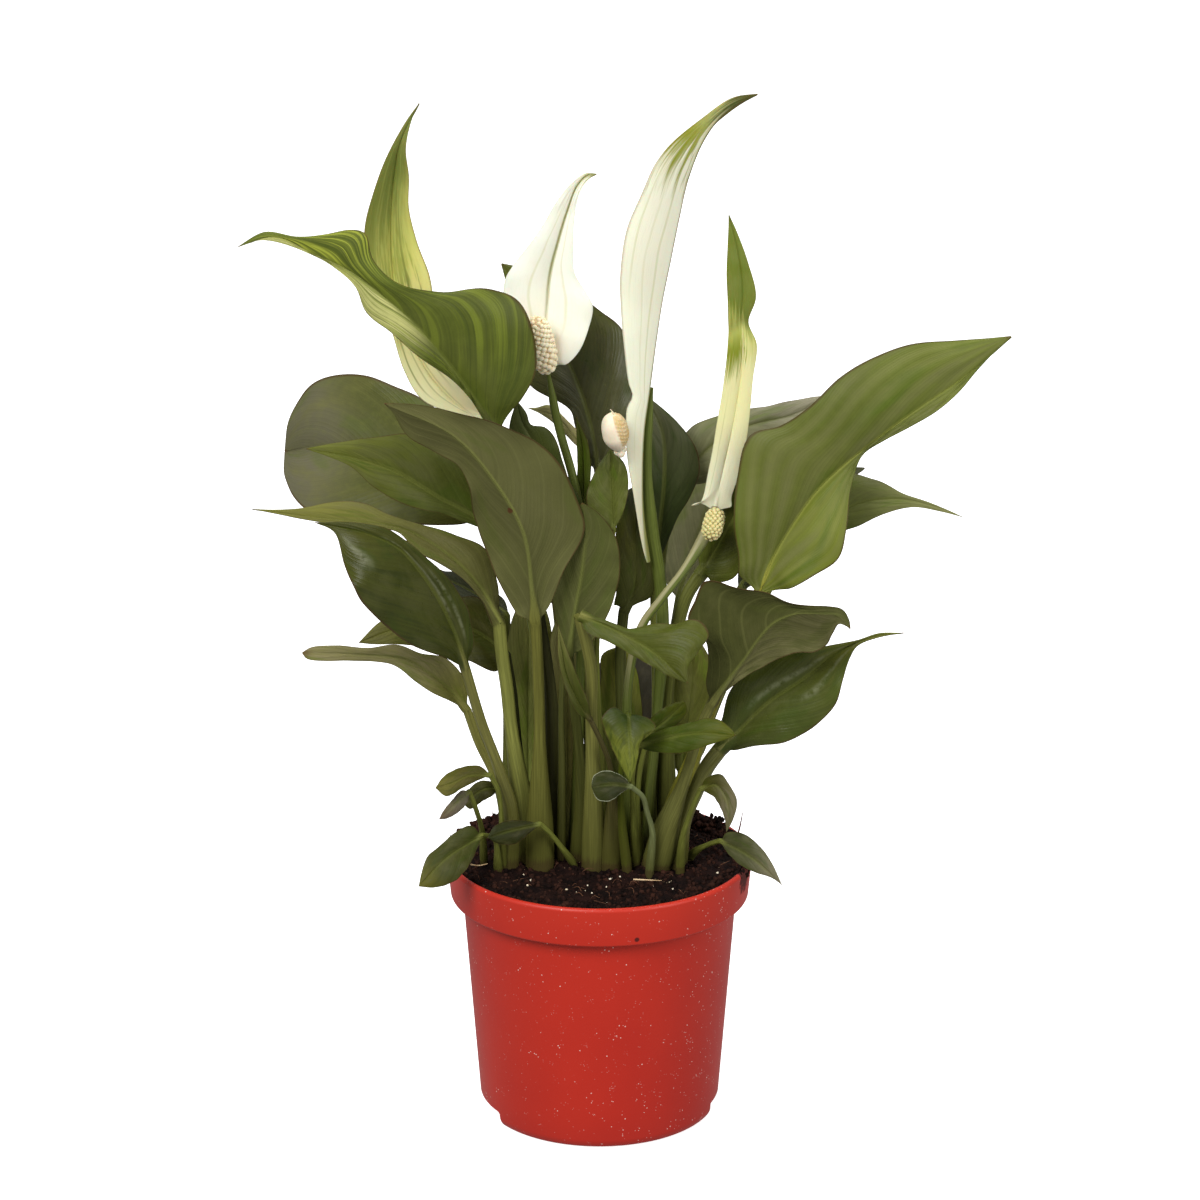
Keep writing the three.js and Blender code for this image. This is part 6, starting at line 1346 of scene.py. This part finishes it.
def clods(name, finish, places, seed):
    """Copies of one knobbly grain at the given places and sizes, joined as one piece."""
    rnd = random.Random(seed)
    bpy.ops.mesh.primitive_ico_sphere_add(subdivisions=1, radius=1)
    grain = bpy.context.object
    local, faces = shape_of(grain)
    points, skins = [], []
    for x, y, z, size in places:
        turn = np.array(Vector((0, 0, 1)).rotation_difference(
            Vector((rnd.uniform(-1, 1), rnd.uniform(-1, 1), rnd.uniform(-1, 1)))).to_matrix())
        knobs = local * np.array([[rnd.uniform(0.7, 1.25)] for _ in local])
        skins += [[len(points) + k for k in f] for f in faces]
        points += list((knobs @ turn.T) * size + [x, y, z])
    refill(grain, points, skins)
    grain.name = grain.data.name = name
    bpy.context.view_layer.objects.active = grain
    grain.select_set(True)
    bpy.ops.object.shade_smooth()
    settle(grain, "soil", finish)


def on_soil(rnd, inner, outer, low, high, lift=0.3):
    """A random place on the soil between two radii, and a random size between two sizes."""
    r, a = math.sqrt(rnd.uniform(inner**2, outer**2)), rnd.uniform(0, TAU)
    x, y = polar(r, a)
    size = rnd.uniform(low, high)
    return x, y, float(soil_height(x, y)) + size * lift, size


def threads(name, finish, paths):
    """Thin tapering roots and straws along short paths, joined as one piece."""
    made = []
    for i, (points, r) in enumerate(paths):
        line = Line(points)
        t = np.linspace(0, 1, 12)
        p, tan = line.at(t), unit(line.at(t + 0.05) - line.at(t - 0.05))
        side = unit(np.cross(tan, [0.3, 0.2, 1.0]))
        front = np.cross(side, tan)
        ang = full_turn(5)
        w = (r * (1 - 0.75 * t**2))[:, None, None]
        rings = p[:, None] + w * (side[:, None] * np.cos(ang)[None, :, None]
                                  + front[:, None] * np.sin(ang)[None, :, None])
        made.append(loft(f"{name}_{i}", rings))
    join(*made)
    made[0].name = made[0].data.name = name
    settle(made[0], "soil", finish)


# places round the back of the rim, the heights seen there, and how many clods are heaped up to them
HEAPS = ((((26, 30), (35.5, 20.5), (40.2, 10)), (94.8, 91.4, 86), 480),
         (((-40.5, 10), (-36.5, 18), (-28, 29)), (85.6, 90, 93.8), 420),
         (((-28, 29), (0, 39.5), (27, 30)), (94.5, 96, 95), 800))

make_soil()
rnd = random.Random(7)
LIP_IN, LIP = RIM_R - WALL, RIM_R - WALL / 2            # the rim's inner edge and its middle
crumbs = [on_soil(rnd, 0, SOIL_R - 1.2, 0.25, 0.95) for _ in range(1500)]
crumbs += [on_soil(rnd, SOIL_R - 4, SOIL_R - 1.0, 0.4, 1.1) for _ in range(260)]
for _ in range(46):                                     # spilt over the lip on the right
    a, r = math.radians(rnd.gauss(-17, 5)), rnd.uniform(43.2, 45.2)
    high = POT_HIGH - abs(r - LIP) * 1.2 - rnd.uniform(0, 1.6) * (r > LIP + 0.4)
    crumbs.append((*polar(r, a), high, rnd.uniform(0.3, 0.75)))
for _ in range(26):                                     # a few clods over the lip on the left
    a, r = math.radians(rnd.gauss(163, 7)), rnd.uniform(41.5, 45.0)
    high = POT_HIGH + rnd.uniform(0.1, 1.8) - max(0, r - LIP_IN) * 0.6
    crumbs.append((*polar(r, a), high, rnd.uniform(0.35, 0.85)))
for spots, tops, many in HEAPS:
    for _ in range(many):
        t, back = rnd.uniform(0, 2), rnd.uniform(-5.5, 0.4)
        x, y = (float(np.interp(t, (0, 1, 2), [p[k] for p in spots])) * (1 + back / HEAP_R) for k in (0, 1))
        top = float(np.interp(t, (0, 1, 2), tops))
        high = EYE_HIGH + (top - EYE_HIGH) * (1 + y / EYE_BACK) + back * 0.45
        size = rnd.uniform(0.5, 1.25)
        crumbs.append((x, y, rnd.uniform(POT_HIGH - 1.5, high - size + 0.2 * rnd.random()), size))
clods("soil_crumbs", peat_finish("peat_crumbs", (18, 9, 8), (58, 34, 25), 0.15), crumbs, 8)
clods("soil_perlite", fleck_finish("perlite", (232, 220, 196), (204, 184, 150)),
      [on_soil(rnd, 2, SOIL_R - 1.2, 0.2, 0.5, 0.6) for _ in range(64)], 9)
paths = []
for _ in range(70):
    x, y, z, _ = on_soil(rnd, 3, SOIL_R - 2.5, 0.3, 0.5)
    turn, far, rise = rnd.uniform(0, TAU), rnd.uniform(1.5, 4.5), rnd.uniform(0.1, 1.6)
    knee = (x + far * 0.5 * math.cos(turn), y + far * 0.5 * math.sin(turn), z + rise)
    tip = (x + far * math.cos(turn + 0.4), y + far * math.sin(turn + 0.4), z + rise * 0.6)
    paths.append(([(x, y, z), knee, tip], rnd.uniform(0.07, 0.16)))
for _ in range(26):                                     # a ragged tuft at the back left
    a, r = math.radians(rnd.uniform(120, 200)), rnd.uniform(39, 42)
    x, y = polar(r, a)
    knee = (x - rnd.uniform(0, 2), y + rnd.uniform(-1, 1), POT_HIGH + 1 + rnd.uniform(0, 1))
    tip = (x - rnd.uniform(0, 4), y + rnd.uniform(-2, 2), POT_HIGH + 1 + rnd.uniform(0, 4))
    paths.append(([(x, y, SOIL_HIGH + 0.4), knee, tip], rnd.uniform(0.12, 0.25)))
threads("soil_roots", fleck_finish("root_brown", (104, 70, 48), (70, 42, 30)), paths)
straw = [[seen(10.0, 70.8, -36.0), seen(14.0, 70.6, -36.5), seen(18.5, 70.4, -36.0)],
         [seen(-38.0, 75.5, -22.0), seen(-35.5, 75.2, -23.0), seen(-33.0, 75.8, -24.0)]]
threads("soil_straw", fleck_finish("straw", (222, 196, 156), (190, 158, 116)), [(p, 0.22) for p in straw])
twig = [seen(39.5, 81.5, 12.0), seen(41.0, 86.0, 11.5), seen(42.2, 92.4, 11.0)]
threads("soil_twig", fleck_finish("twig_bark", (120, 72, 66), (86, 46, 42)), [(twig, 0.32)])

# ------------------------------------------------------------------ floor, light and camera

bpy.ops.mesh.primitive_plane_add(size=14, location=(0, 2, 0))
floor = bpy.context.object
floor.name = "floor"
paper = Finish("floor_paper", specular_ior_level=0.1, emission_color=(1, 1, 1, 1), emission_strength=0.75)
floor.data.materials.append(paper.wear(
    base_color=paper.blend(paper.noise(paper.place(), 3.0), rgb(252, 252, 252), rgb(250, 250, 250)),
    roughness=0.85 + 0.05 * paper.noise(paper.place(), 80.0)))
floor.visible_diffuse = floor.visible_glossy = False      # no glow thrown back onto the pot

world = bpy.data.worlds.new("studio")
bpy.context.scene.world = world
world.use_nodes = True
world.node_tree.nodes["Background"].inputs["Color"].default_value = (1, 1, 1, 1)
world.node_tree.nodes["Background"].inputs["Strength"].default_value = 0.38


def softbox(name, place, aim, size, power):
    """A flat rectangular lamp turned to its aim."""
    bpy.ops.object.light_add(type="AREA", location=place)
    lamp = bpy.context.object
    lamp.name = name
    lamp.data.shape = "RECTANGLE"
    lamp.data.size, lamp.data.size_y = size
    lamp.data.energy = power
    lamp.rotation_euler = (Vector(aim) - Vector(place)).to_track_quat("-Z", "Y").to_euler()


softbox("key", (-0.8, -1.3, 1.4), (0, 0, 0.15), (0.9, 0.9), 34)
softbox("fill", (1.2, -1.1, 0.8), (0, 0, 0.12), (0.8, 1.1), 13)
softbox("top", (0.2, 0.5, 1.7), (0, 0, 0.15), (1.2, 0.8), 13)

camera = bpy.data.cameras.new("camera")
camera.sensor_width, camera.lens = SENSOR, FOCUS / PICTURE * SENSOR
camera.shift_x = 0.5 / PICTURE      # half a pixel
viewer = bpy.data.objects.new("camera", camera)
viewer.location = (0, -EYE_BACK * MM, EYE_HIGH * MM)
viewer.rotation_euler = (math.radians(90 - DIP), 0, 0)
bpy.context.collection.objects.link(viewer)
bpy.context.scene.camera = viewer
bpy.context.scene.view_settings.view_transform = "Standard"
